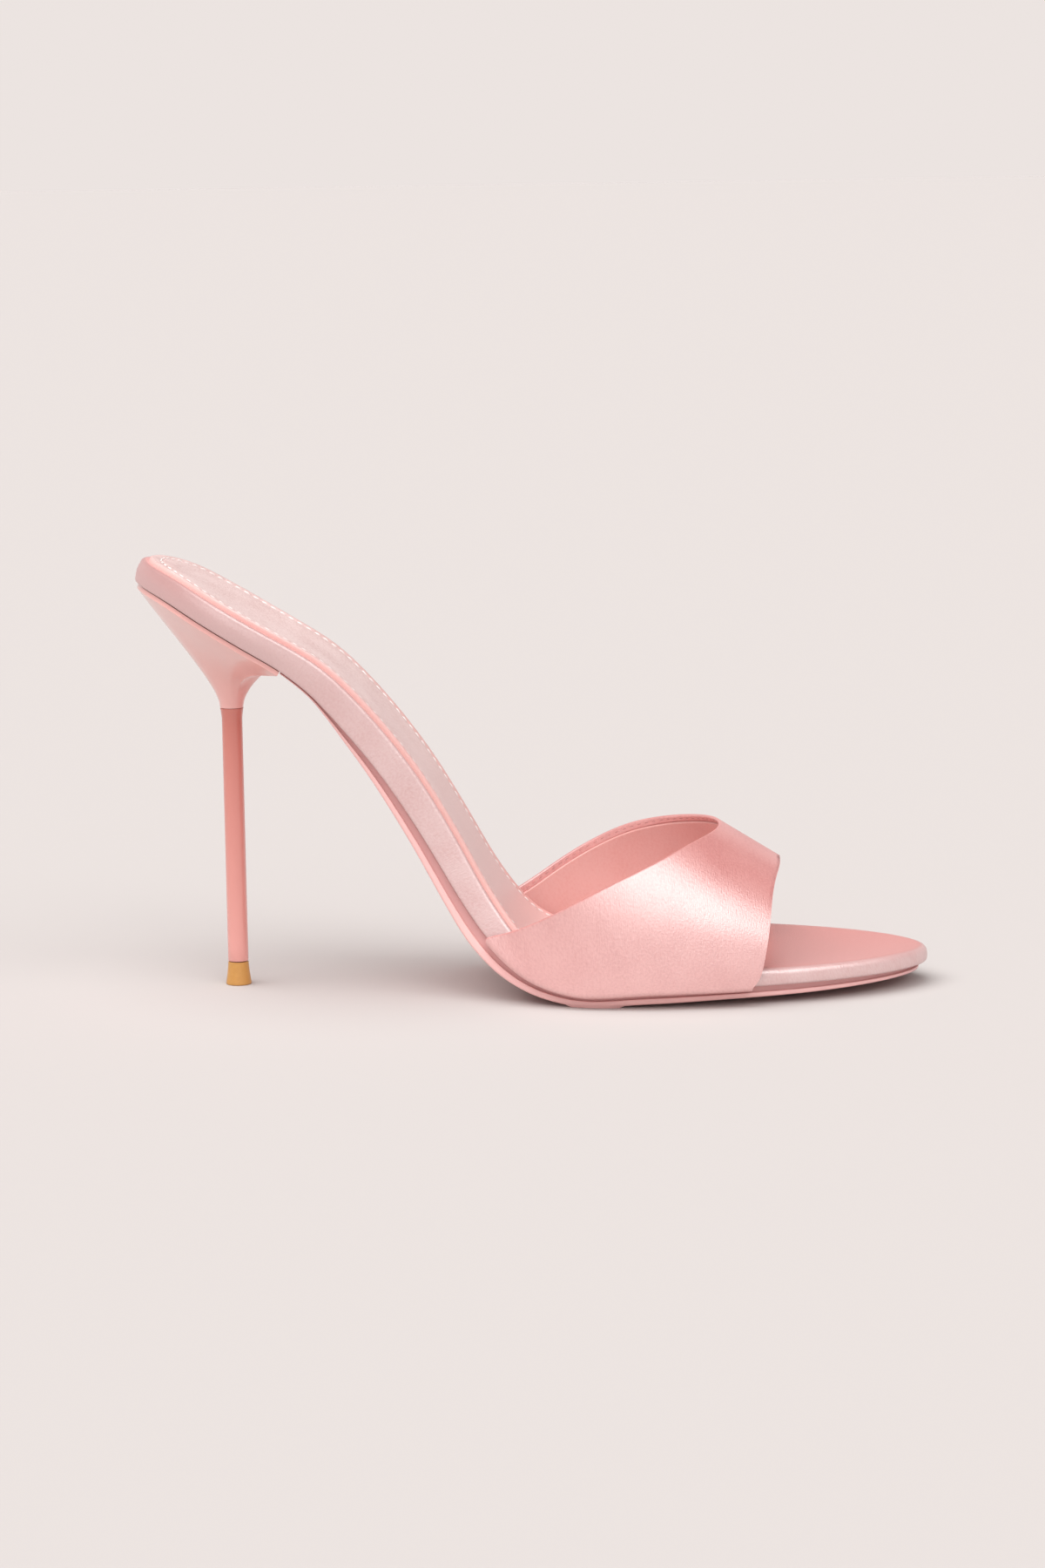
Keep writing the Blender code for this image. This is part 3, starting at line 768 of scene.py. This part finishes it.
def sockTop(s, side, fromEdge):
    # A point on the sock's upper face.
    at, y = rim(s, side, sock["inset"] + fromEdge)
    edgeAt, edgeY = rim(s, side, sock["inset"])
    share = np.abs(y) / np.maximum(np.abs(edgeY), 1e-6)
    h = last["gap"] + sock["thickness"] + sockRise(fromEdge) - sockDish(s) * (1 - np.minimum(share, 1) ** 2)
    return place(at, y, h)


def buildSock():
    floor = last["gap"]
    roof = last["gap"] + sock["thickness"]
    insets = sock["insets"]
    loops = []
    for s in stations(sock["spacing"], 0.0, sock["front"]):
        dish = float(sockDish(s))

        def sideRow(side):
            lowAt, lowY = rim(s, side, sock["inset"] + sock["foot"])
            rows = [place(lowAt, lowY, floor)]
            for inset, height in sock["edge"]:
                at, y = rim(s, side, sock["inset"] + inset)
                rows.append(place(at, y, roof + height))
            return rows + [sockTop(s, side, inset) for inset in insets]

        inner = sideRow(1)
        outer = sideRow(-1)
        # The middle of the top and of the underside, between the two sides' last points.
        at1, y1 = rim(s, 1, sock["inset"] + insets[-1])
        at0, y0 = rim(s, -1, sock["inset"] + insets[-1])
        edge1 = rim(s, 1, sock["inset"])[1]
        edge0 = rim(s, -1, sock["inset"])[1]
        middle = []
        for t in np.linspace(0, 1, 17)[1:-1]:
            y = y1 + (y0 - y1) * t
            share = y / edge1 if y > 0 else y / edge0
            h = roof + sockRise(insets[-1]) - dish * (1 - min(1.0, abs(share)) ** 2)
            middle.append(place(at1 + (at0 - at1) * t, y, h))
        lowInner, lowOuter = inner[0], outer[0]
        under = []
        for t in np.linspace(0, 1, 9)[1:-1]:
            hollow = np.array([0, 0, dish * (1 - (2 * t - 1) ** 2)])
            under.append(lowOuter + (lowInner - lowOuter) * t - hollow)
        half = len(under) // 2
        loops.append(np.array(under[half:] + inner + middle + outer[::-1] + under[:half]))
    edge = [0.0] * 4 + insets
    border = [0.0] * (len(under) - half) + edge + [insets[-1]] * len(middle) + edge[::-1] + [0.0] * half
    obj = addLayer("sockPad", loops, capLast=True, border=np.array(border))
    finishPiece(obj, sockSatin, "sock_satin", "insole_sock")


def edgePath(spacing, front):
    # Round the sock's edge: along the outer side, round the seat and back along the inner side.
    s = stations(spacing, 0.0, front)
    return [(value, -1) for value in s[::-1]] + [(value, 1) for value in s[1:]]


sockEdge = {
    "short": 0.002,         # how much it stops before the sock's front
    "floor": -0.00012,
    "under": [(0.00040, 0.0), (-0.00012, 0.0), (-0.00014, 0.0003)],      # inset and height over its floor
    "over": [(-0.00010, -0.00045), (-0.00002, -0.00026), (0.00016, -0.00018), (0.00040, -0.00024)],
}


def buildSockEdge():
    roof = last["gap"] + sock["thickness"]
    profile = [(inset, sockEdge["floor"] + height) for inset, height in sockEdge["under"]]
    profile += [(inset, roof + height) for inset, height in sockEdge["over"]]
    loops = []
    for s, side in edgePath(sock["spacing"], sock["front"] - sockEdge["short"]):
        row = []
        for inset, height in profile:
            at, y = rim(s, side, sock["inset"] + inset)
            row.append(place(at, y, height))
        loops.append(np.array(row))
    obj = addLayer("sockEdge", loops, capFirst=True, capLast=True)
    return finishPiece(obj, edgeShadeCoral, "sock_satin")


# Stitches: one small ball, drawn out along its path and repeated by Geometry Nodes

def buildStitchTree():
    tree = bpy.data.node_groups.new("stitchRow", "GeometryNodeTree")
    tree.interface.new_socket("Geometry", in_out="INPUT", socket_type="NodeSocketGeometry")
    for label, value in (("Pitch", 0.0024), ("Length", 0.0016), ("Thickness", 0.0004), ("Wander", 0.04)):
        socket = tree.interface.new_socket(label, in_out="INPUT", socket_type="NodeSocketFloat")
        socket.default_value = value
    tree.interface.new_socket("Thread", in_out="INPUT", socket_type="NodeSocketMaterial")
    tree.interface.new_socket("Geometry", in_out="OUTPUT", socket_type="NodeSocketGeometry")
    start = tree.nodes.new("NodeGroupInput")
    end = tree.nodes.new("NodeGroupOutput")
    path = addNode(tree, "GeometryNodeMeshToCurve", {"Mesh": start.outputs["Geometry"]})
    points = addNode(tree, "GeometryNodeCurveToPoints", {
        "Curve": path.outputs[0], "Length": start.outputs["Pitch"]}, mode="LENGTH")
    ball = addNode(tree, "GeometryNodeMeshUVSphere", {"Segments": 8, "Rings": 6, "Radius": 0.5})
    size = addNode(tree, "ShaderNodeCombineXYZ", {
        "X": start.outputs["Thickness"], "Y": start.outputs["Thickness"], "Z": start.outputs["Length"]})
    shaped = addNode(tree, "GeometryNodeTransform", {"Geometry": ball.outputs["Mesh"], "Scale": size.outputs[0]})
    high = start.outputs["Wander"]
    low = mathNode(tree, "SUBTRACT", 0.0, high)
    lowVector = addNode(tree, "ShaderNodeCombineXYZ", {"X": low, "Y": low})
    highVector = addNode(tree, "ShaderNodeCombineXYZ", {"X": high, "Y": high})
    wander = addNode(tree, "FunctionNodeRandomValue", {
        "Min": lowVector.outputs[0], "Max": highVector.outputs[0], "Seed": 7}, data_type="FLOAT_VECTOR")
    placed = addNode(tree, "GeometryNodeInstanceOnPoints", {
        "Points": points.outputs["Points"], "Instance": shaped.outputs[0],
        "Rotation": points.outputs["Rotation"]})
    turned = addNode(tree, "GeometryNodeRotateInstances", {
        "Instances": placed.outputs[0], "Rotation": wander.outputs["Value"]})
    real = addNode(tree, "GeometryNodeRealizeInstances", {"Geometry": turned.outputs[0]})
    smooth = addNode(tree, "GeometryNodeSetShadeSmooth", {"Geometry": real.outputs[0]})
    painted = addNode(tree, "GeometryNodeSetMaterial", {
        "Geometry": smooth.outputs[0], "Material": start.outputs["Thread"]})
    tree.links.new(painted.outputs[0], end.inputs["Geometry"])
    return tree


stitchTree = buildStitchTree()


def addStitches(name, path, sizes, material, slot):
    mesh = bpy.data.meshes.new(name + "Path")
    mesh.from_pydata([tuple(p) for p in path], [(i, i + 1) for i in range(len(path) - 1)], [])
    guide = bpy.data.objects.new(name + "Path", mesh)
    scene.collection.objects.link(guide)
    modifier = guide.modifiers.new("stitches", "NODES")
    modifier.node_group = stitchTree
    values = {"Pitch": sizes["pitch"], "Length": sizes["length"], "Thickness": sizes["thickness"],
              "Wander": sizes["wander"], "Thread": material}
    for socket in stitchTree.interface.items_tree:
        if socket.item_type == "SOCKET" and socket.in_out == "INPUT" and socket.name in values:
            modifier[socket.identifier] = values[socket.name]
    bpy.context.view_layer.update()
    evaluated = guide.evaluated_get(bpy.context.evaluated_depsgraph_get())
    finished = bpy.data.meshes.new_from_object(evaluated)
    finished.name = name
    bpy.data.objects.remove(guide)
    obj = bpy.data.objects.new(name, finished)
    scene.collection.objects.link(obj)
    finished.materials.clear()
    return finishPiece(obj, material, slot)


sockStitch = {
    "pitch": 0.0028, "length": 0.0018, "thickness": 0.00055, "wander": 0.05,
    "rise": 0.00022,        # over the channel's bottom
    "short": 0.02,          # how much the row stops before the sock's front
    "pathStep": 0.0010,
}


def buildSockStitches():
    rise = np.array([0, 0, sockStitch["rise"]])
    path = [sockTop(s, side, sock["stitchInset"]) + rise
            for s, side in edgePath(sockStitch["pathStep"], sock["front"] - sockStitch["short"])]
    return addStitches("sockStitches", path, sockStitch, threadPale, "sock_satin")


buildSock()
buildSockEdge()
buildSockStitches()
print("sock laid")


# Sole unit, with its recessed upper band

sole = {
    "inset": 0.0016,
    "groove": 0.0009,           # inset of the recessed band
    "band": 0.52,               # height of the band, as a share of the sole's depth
    "edge": 0.0008,
    "soft": 0.00022,            # rounding under the band
    "press": 0.0005,            # what lies lower than this is pressed flat on the floor
    "start": 0.0429,
    "spacing": 0.0014,
}


def buildSole():
    loops = []
    start = sole["start"] / last["length"]
    shares = np.linspace(-1, 1, 13)
    for s in stations(sole["spacing"], start, 1.0):
        top = -float(byLength("platform", s)) - last["gap"]
        depth = float(byLength("sole", s))
        share = min(1.0, depth / last["sole"])
        inset = sole["inset"] + (1 - share) * sole["inset"]
        edge = sole["edge"] * share
        soft = sole["soft"] * share
        band = top - depth * sole["band"]
        profile = [(inset + sole["edge"] * 1.6, top - depth)]
        for turn in np.linspace(0, math.pi / 2, 8):
            across = inset + sole["edge"] * (1 - math.sin(turn))
            profile.append((across, top - depth + edge * (1 - math.cos(turn))))
        profile += arc((inset + soft, band - soft), soft, 180, 90, 5)
        bandPoints = len(profile)
        profile += [(inset + sole["groove"], height) for height in (band, band + 0.00002, top)]
        loop = layerLoop(s, profile, 0.0, 0.0, shares, shares)
        loop[:, 2] = np.where(loop[:, 2] < sole["press"], 0.0, loop[:, 2])
        loops.append(loop)
    # The mask marks the recessed band, which takes the painted shade.
    middle = len(shares) // 2
    side = [0.0] * bandPoints + [1.0] * (len(profile) - bandPoints)
    mask = [0.0] * middle + side + [1.0] * (len(shares) - 2) + side[::-1] + [0.0] * (middle - 1)
    obj = addLayer("soleUnit", loops, capFirst=True, sharp=40, border=np.array(mask))
    return finishPiece(obj, solePink, "sole", "outsole")


buildSole()
print("sole made")


# Vamp: a satin wall with rolled edges, a lining set in from them, and the stitches between

vamp = {
    "wall": 0.0016,
    "turn": 0.0006,              # height over which the wall turns under the platform
    "marginWall": 0.0006,
    "marginReach": 0.0021,
    "instepHeight": 0.0438,
    "instepSlope": 0.62,
    "instepShift": 0.0015,
    "archPower": 2.15,
    "liningThickness": 0.0007,
    "liningInset": 0.0020,       # from the topline to the lining's edge
    "sideRows": 14,
    "archRows": 46,
    "middleColumns": 44,
    "samples": 240,              # places along a row at which its distance to the edges is taken
    "sideHeight": 0.006,         # rough heights of the wall beside the platform and of the arch
    "archHeight": 0.034,
    "easeReach": 0.0055,
    "easeSteps": 60,
    "rolled": [0.0, 0.00006, 0.00018, 0.00036, 0.0006, 0.0009, 0.0013, 0.0019, 0.0027, 0.0038],
    "liningRolled": [0.0, 0.00004, 0.0001, 0.00018, 0.00026, 0.00035, 0.0005, 0.0009, 0.0016, 0.0026],
    "liningFoot": -0.62,         # level at which the lining starts, beside the platform
}

vampRows = [
    # level, outer back, outer front, inner back, inner front
    (-1.00, 0.439, 0.773, 0.438, 0.788),
    (-0.85, 0.446, 0.779, 0.444, 0.791),
    (-0.50, 0.458, 0.784, 0.455, 0.796),
    (0.00, 0.473, 0.787, 0.468, 0.800),
    (0.12, 0.494, 0.789, 0.485, 0.801),
    (0.24, 0.524, 0.792, 0.510, 0.802),
    (0.40, 0.578, 0.795, 0.554, 0.804),
    (0.55, 0.629, 0.797, 0.604, 0.806),
    (0.70, 0.668, 0.799, 0.655, 0.807),
    (0.85, 0.701, 0.803, 0.699, 0.809),
    (1.00, 0.734, 0.811, 0.734, 0.811),
]


def underHeight(x, drop):
    s = lengthAt(x)
    for step in range(10):
        depth = byLength("platform", s) + drop
        slope = byLength("slope", s)
        s = s + x - (byLength("x", s) + depth * np.sin(slope))
    return byLength("z", s) - depth * np.cos(slope)


def besidePlatform(x, z, side, out):
    s = lengthAt(x)
    for step in range(8):
        slope = byLength("slope", s)
        s = s + (x - byLength("x", s)) * np.cos(slope) + (z - byLength("z", s)) * np.sin(slope)
    y = side * (byLength(side, s) + out)
    return onFloor(x, y, z)


def vampPoints(row, x, grow):
    # Points of the vamp at distances x along one row, under the platform, beside it or over the foot.
    kind, side, value = row
    if kind == "under":
        out, drop = value
        return besidePlatform(x, underHeight(x, drop), side, out + grow)
    bedZ = np.interp(x, bed["x"], bed["z"])
    if kind == "beside":
        z = bedZ + (bedZ - underHeight(x, -vamp["turn"])) * value
        return besidePlatform(x, z, side, grow)
    outermost = last["bulge"] + last["gap"] + vamp["wall"]
    fromFront = vampRows[-1][1] * last["length"] - x
    crest = vamp["instepHeight"] + vamp["instepSlope"] * fromFront + grow - outermost
    power = 2 / vamp["archPower"]
    level = math.sin(value) ** power
    spread = max(0.0, math.cos(value)) ** power
    y = vamp["instepShift"] * level + side * (byLength(side, lengthAt(x)) + grow) * spread
    z = bedZ + (crest - bedZ) * level
    return onFloor(x, y, z)


def vampRowList(grow, thickness):
    # Rows from the outer margin over the arch to the inner margin, with each row's level and thickness.
    half = []
    reach = vamp["marginReach"]
    drop = last["gap"] + vamp["marginWall"] / 2
    for share in np.linspace(0, 1, 6):
        half.append(("under", (-grow - reach + (reach + grow * 0.55) * share, drop), vamp["marginWall"]))
    bendStart = -grow + grow * 0.55
    for share in np.linspace(0, 1, 8)[1:-1]:
        turn = math.pi / 2 * share
        out = bendStart + (0.0 - bendStart) * math.sin(turn)
        down = drop + (-vamp["turn"] - drop) * (1 - math.cos(turn))
        half.append(("under", (out, down), vamp["marginWall"] + (thickness - vamp["marginWall"]) * share))
    for level in np.linspace(-1, 0, vamp["sideRows"] + 1)[:-1]:
        half.append(("beside", level, thickness))
    for turn in np.linspace(0, math.pi / 2, vamp["archRows"] + 1):
        half.append(("arch", turn, thickness))
    outer = [((kind, -1, value), thick) for kind, value, thick in half]
    inner = [((kind, 1, value), thick) for kind, value, thick in half]
    return outer + inner[-2::-1]


def levelOf(row):
    kind, side, value = row
    if kind == "under":
        return -1.0
    if kind == "beside":
        return value
    return math.sin(value) ** (2 / vamp["archPower"])


def vampEdges(rows):
    # Distances of the topline and the front edge for each row, with the tables' corners rounded.
    levels = column(vampRows, 0)
    edges = {}
    for name, outerColumn, innerColumn in (("back", 1, 3), ("front", 2, 4)):
        values = []
        for row, thick in rows:
            index = outerColumn if row[1] < 0 else innerColumn
            values.append(float(curveThrough(levels, column(vampRows, index), levelOf(row))))
        values = np.array(values) * last["length"]
        edges[name] = soften(values, 1.0, 2.0)
    return edges


def nearest(points, line):
    # Distance of each point to a polyline.
    a = line[:-1]
    d = line[1:] - a
    t = np.einsum("pij,ij->pi", points[:, None, :] - a[None], d) / np.maximum((d * d).sum(1), 1e-16)
    foot = a[None] + np.clip(t, 0, 1)[..., None] * d[None]
    return np.sqrt(((points[:, None, :] - foot) ** 2).sum(2)).min(1)


def easeSides(grid, rows):
    # Lets the wall's bend over the foot bed's edge run out softly up and down the side.
    scale = {"beside": vamp["sideHeight"], "arch": vamp["archHeight"]}
    heights = np.array([scale[kind] * value if kind in scale else -1.0 for (kind, side, value), thick in rows])
    ease = np.exp(-(heights / vamp["easeReach"]) ** 2)[:, None, None]
    for step in range(vamp["easeSteps"]):
        between = (grid[:-2] + grid[2:]) / 2
        grid[1:-1] += 0.5 * ease[1:-1] * (between - grid[1:-1])
    return grid


def vampSheet(grow, thickness, backInsets, frontInsets, rows=None):
    # The middle of a wall as a grid, with each point's distance to the nearest edge.
    rows = rows or vampRowList(grow, thickness)
    edges = vampEdges(rows)

    def edgePoints(name):
        return np.array([vampPoints(row, np.array([x]), grow)[0] for (row, thick), x in zip(rows, edges[name])])

    toplinePoints = edgePoints("back")
    frontPoints = edgePoints("front")
    grid = []
    for (row, thick), back, front in zip(rows, edges["back"], edges["front"]):
        x = np.linspace(back, front, vamp["samples"])
        points = vampPoints(row, x, grow)
        fromBack = np.maximum.accumulate(nearest(points, toplinePoints))
        fromFront = np.maximum.accumulate(nearest(points, frontPoints)[::-1])[::-1]
        backX = np.interp(backInsets, fromBack, x)
        frontX = np.interp(frontInsets, fromFront[::-1], x[::-1])[::-1]
        middle = np.linspace(backX[-1], frontX[0], vamp["middleColumns"] + 2)[1:-1]
        grid.append(vampPoints(row, np.concatenate([backX, middle, frontX]), grow))
    return easeSides(np.array(grid), rows), rows


def gridNormals(grid):
    across = np.gradient(grid, axis=0)
    along = np.gradient(grid, axis=1)
    normal = np.cross(along, across)
    normal /= np.maximum(np.linalg.norm(normal, axis=2, keepdims=True), 1e-12)
    crest = grid.shape[0] // 2
    if normal[crest, grid.shape[1] // 2, 2] < 0:
        normal = -normal
    return normal


def wallMesh(name, grid, normals, insets, thick):
    # A wall of this thickness about its middle sheet, rolled round at its topline and front edge.
    half = thick[:, None] / 2
    roll = np.sqrt(np.clip(1 - (1 - np.minimum(insets[None, :], half) / half) ** 2, 0, 1))
    offset = (half * roll)[..., None] * normals
    rows, columns = grid.shape[:2]
    points = np.concatenate([(grid + offset).reshape(-1, 3), (grid - offset).reshape(-1, 3)])
    count = rows * columns
    faces = gridFaces(rows, columns) + gridFaces(rows, columns, offset=count, flip=True)
    for j in range(columns - 1):
        faces.append((j, j + 1, count + j + 1, count + j))
        base = (rows - 1) * columns
        faces.append((base + j + 1, base + j, count + base + j, count + base + j + 1))
    across = np.concatenate([[0], np.cumsum(np.linalg.norm(np.diff(grid[:, columns // 2], axis=0), axis=1))])
    along = grid[..., 0] - grid[..., 0].min()
    cloth = np.stack([np.broadcast_to(across[:, None], along.shape), along], axis=-1).reshape(-1, 2)
    return addMesh(name, points, faces, np.concatenate([cloth, cloth + 0.05]), sharp=70)


def satinSheet():
    # Thickness of the satin over the lining, and how far its middle stands off the last.
    thickness = vamp["wall"] - vamp["liningThickness"]
    return thickness, last["bulge"] + last["gap"] + vamp["liningThickness"] + thickness / 2


def wallOf(name, sheet, rolled, thick):
    grid, rows = sheet
    insets = np.concatenate([rolled, np.full(vamp["middleColumns"], 1.0), rolled[::-1]])
    return wallMesh(name, grid, gridNormals(grid), insets, thick)


def buildVamp():
    thickness, grow = satinSheet()
    rolled = np.array(vamp["rolled"])
    sheet = vampSheet(grow, thickness, rolled, rolled[::-1])
    obj = wallOf("vampSatin", sheet, rolled, np.array([thick for row, thick in sheet[1]]))
    return finishPiece(obj, satin, "vamp_satin", "vamp")


def buildLining():
    thickness = vamp["liningThickness"]
    grow = last["bulge"] + last["gap"] + thickness / 2
    rows = [((kind, side, value), thickness) for (kind, side, value), thick in vampRowList(grow, thickness)
            if kind == "arch" or (kind == "beside" and value > vamp["liningFoot"])]
    start = vamp["liningInset"]
    rolled = np.array(vamp["liningRolled"])
    sheet = vampSheet(grow, thickness, start + rolled, (start * 0.8 + rolled)[::-1], rows)
    obj = wallOf("vampLining", sheet, rolled, np.full(len(rows), thickness))
    return finishPiece(obj, liningCloth, "vamp_satin")


vampStitch = {
    "pitch": 0.0023, "length": 0.0012, "thickness": 0.00024, "wander": 0.04,
    "inset": 0.0010,        # from the topline
    "rise": 0.00004,        # of a stitch's middle over the turned satin
}


def buildVampStitches():
    thickness, grow = satinSheet()
    rows = [item for item in vampRowList(grow, thickness) if item[0][0] == "arch"]
    line = np.array([0.0, vampStitch["inset"], 0.002])
    grid, rows = vampSheet(grow, thickness, line, line[::-1], rows)
    path = grid[:, 1] - gridNormals(grid)[:, 1] * (thickness / 2 + vampStitch["rise"])
    return addStitches("vampStitches", path, vampStitch, threadRose, "vamp_satin")


buildVamp()
buildLining()
buildVampStitches()
print("vamp closed")


# Heel block, stem and tip

heel = {
    "breastSetback": 0.0426,
    "breastBow": 0.0015,
    "inset": 0.0006,
    "platformEdge": 0.00072,
    "lip": 0.0012,
    "joint": 0.0768,
    "stemDiameter": 0.0056,
    "neckDiameter": 0.0064,
    "neckTaper": 0.0040,
    "tipHeight": 0.0063,
    "tipDiameter": 0.0070,
    "jointGap": 0.00012,        # between the pin and the heel block
    "soft": 0.00012,            # rounding of the pin's ends
    "seatSoft": 0.0001,
    "spacing": 0.0010,
    "steps": 44,
}

flankRows = [
    # turn, slope, low, high
    (0.0, 20.0, 0.30, 0.25),
    (50.0, 4.0, 0.42, 0.55),
    (90.0, 34.0, 0.34, 0.42),
    (180.0, 60.0, 0.16, 0.34),
]


def buildHeel():
    s = stations(heel["spacing"], 0.0, heel["breastSetback"] / last["length"])
    edge = heel["platformEdge"] + heel["inset"]
    outerAt, outerY = rim(s[1:], -1, edge)
    innerAt, innerY = rim(s[1:], 1, edge)
    backAt = s[0] + edge
    breast = np.linspace(0, 1, 34)[1:-1]
    bow = heel["breastBow"] * np.sin(math.pi * breast)
    breastAt = innerAt[-1] + (outerAt[-1] - innerAt[-1]) * breast - bow
    breastY = innerY[-1] + (outerY[-1] - innerY[-1]) * breast
    at = np.concatenate([outerAt[::-1], [backAt], innerAt, breastAt])
    y = np.concatenate([outerY[::-1], [0.0], innerY, breastY])
    roof = -byLength("platform", at) - last["gap"]
    seat = place(at, y, roof)
    soft = place(at, y, roof - heel["seatSoft"])
    lip = place(at, y, roof - heel["lip"])
    turn = np.arctan2(lip[:, 1] - tipFoot.y, lip[:, 0] - tipFoot.x)
    aside = np.abs(np.degrees(turn))
    slope, low, high = (curveThrough(column(flankRows, 0), column(flankRows, i), aside) for i in (1, 2, 3))
    slope = np.radians(slope)
    foot = ring(turn, heel["neckDiameter"] / 2, heel["joint"])
    span = np.linalg.norm(lip - foot, axis=1)
    out = np.stack([np.cos(turn) * np.cos(slope), np.sin(turn) * np.cos(slope), np.sin(slope)], axis=1)
    # Each line of the block's side is one curve from the neck up to the lip.
    first = foot + np.stack([0 * span, 0 * span, span * low], axis=1)
    second = lip - out * (span * high)[:, None]
    loops = []
    for t in np.linspace(0, 1, heel["steps"] + 1):
        ends = (1 - t) ** 3 * foot + t ** 3 * lip
        loops.append(ends + 3 * t * (1 - t) ** 2 * first + 3 * t * t * (1 - t) * second)
    loops += [soft, seat]
    obj = addLayer("heelBlock", loops, capFirst=True, capLast=True, sharp=38)
    return finishPiece(obj, heelPearl, "heel_pearl", "heel")


def ring(turns, radius, height):
    return np.stack([tipFoot.x + radius * np.cos(turns), tipFoot.y + radius * np.sin(turns),
                     np.full(len(turns), height)], axis=1)


def turned(name, profile, sides=72):
    turns = np.linspace(0, 2 * math.pi, sides, endpoint=False)
    loops = [ring(turns, radius, height) for radius, height in profile]
    return addLayer(name, loops, capFirst=True, capLast=True, sharp=38)


def buildStem():
    radius = heel["stemDiameter"] / 2
    neck = heel["neckDiameter"] / 2
    low = heel["tipHeight"] + last["gap"]
    high = heel["joint"] - heel["jointGap"]
    soft = heel["soft"]
    profile = [(radius - soft, low), (radius - soft * 0.3, low + soft * 0.3), (radius, low + soft)]
    profile += [(radius, low + (high - heel["neckTaper"] - low) * t) for t in np.linspace(0, 1, 16)[1:]]
    for t in np.linspace(0, 1, 12)[1:-1]:
        profile.append((radius + (neck - radius) * t * t, high - heel["neckTaper"] * (1 - t)))
    profile += [(neck, high - soft), (neck - soft * 0.3, high - soft * 0.3), (neck - soft, high)]
    obj = turned("heelPin", profile)
    return finishPiece(obj, stemLacquer, "stem_lacquer", "heel_stem")


def buildTip():
    base = heel["tipDiameter"] / 2
    neck = heel["stemDiameter"] / 2
    tall = heel["tipHeight"]
    profile = [(base - 0.0003, 0.0), (base - 0.00012, 0.00006), (base - 0.00002, 0.0002), (base, 0.00035)]
    for t in np.linspace(0, 1, 14)[1:]:
        profile.append((neck + (base - neck) * (1 - t) ** 1.35, 0.00035 + (tall - 0.00045) * t))
    profile.append((neck - 0.0001, tall))
    obj = turned("heelTip", profile)
    return finishPiece(obj, tipAmber, "tip", "top_piece")


buildHeel()
buildStem()
buildTip()
print("heel standing")

print("pieces made")
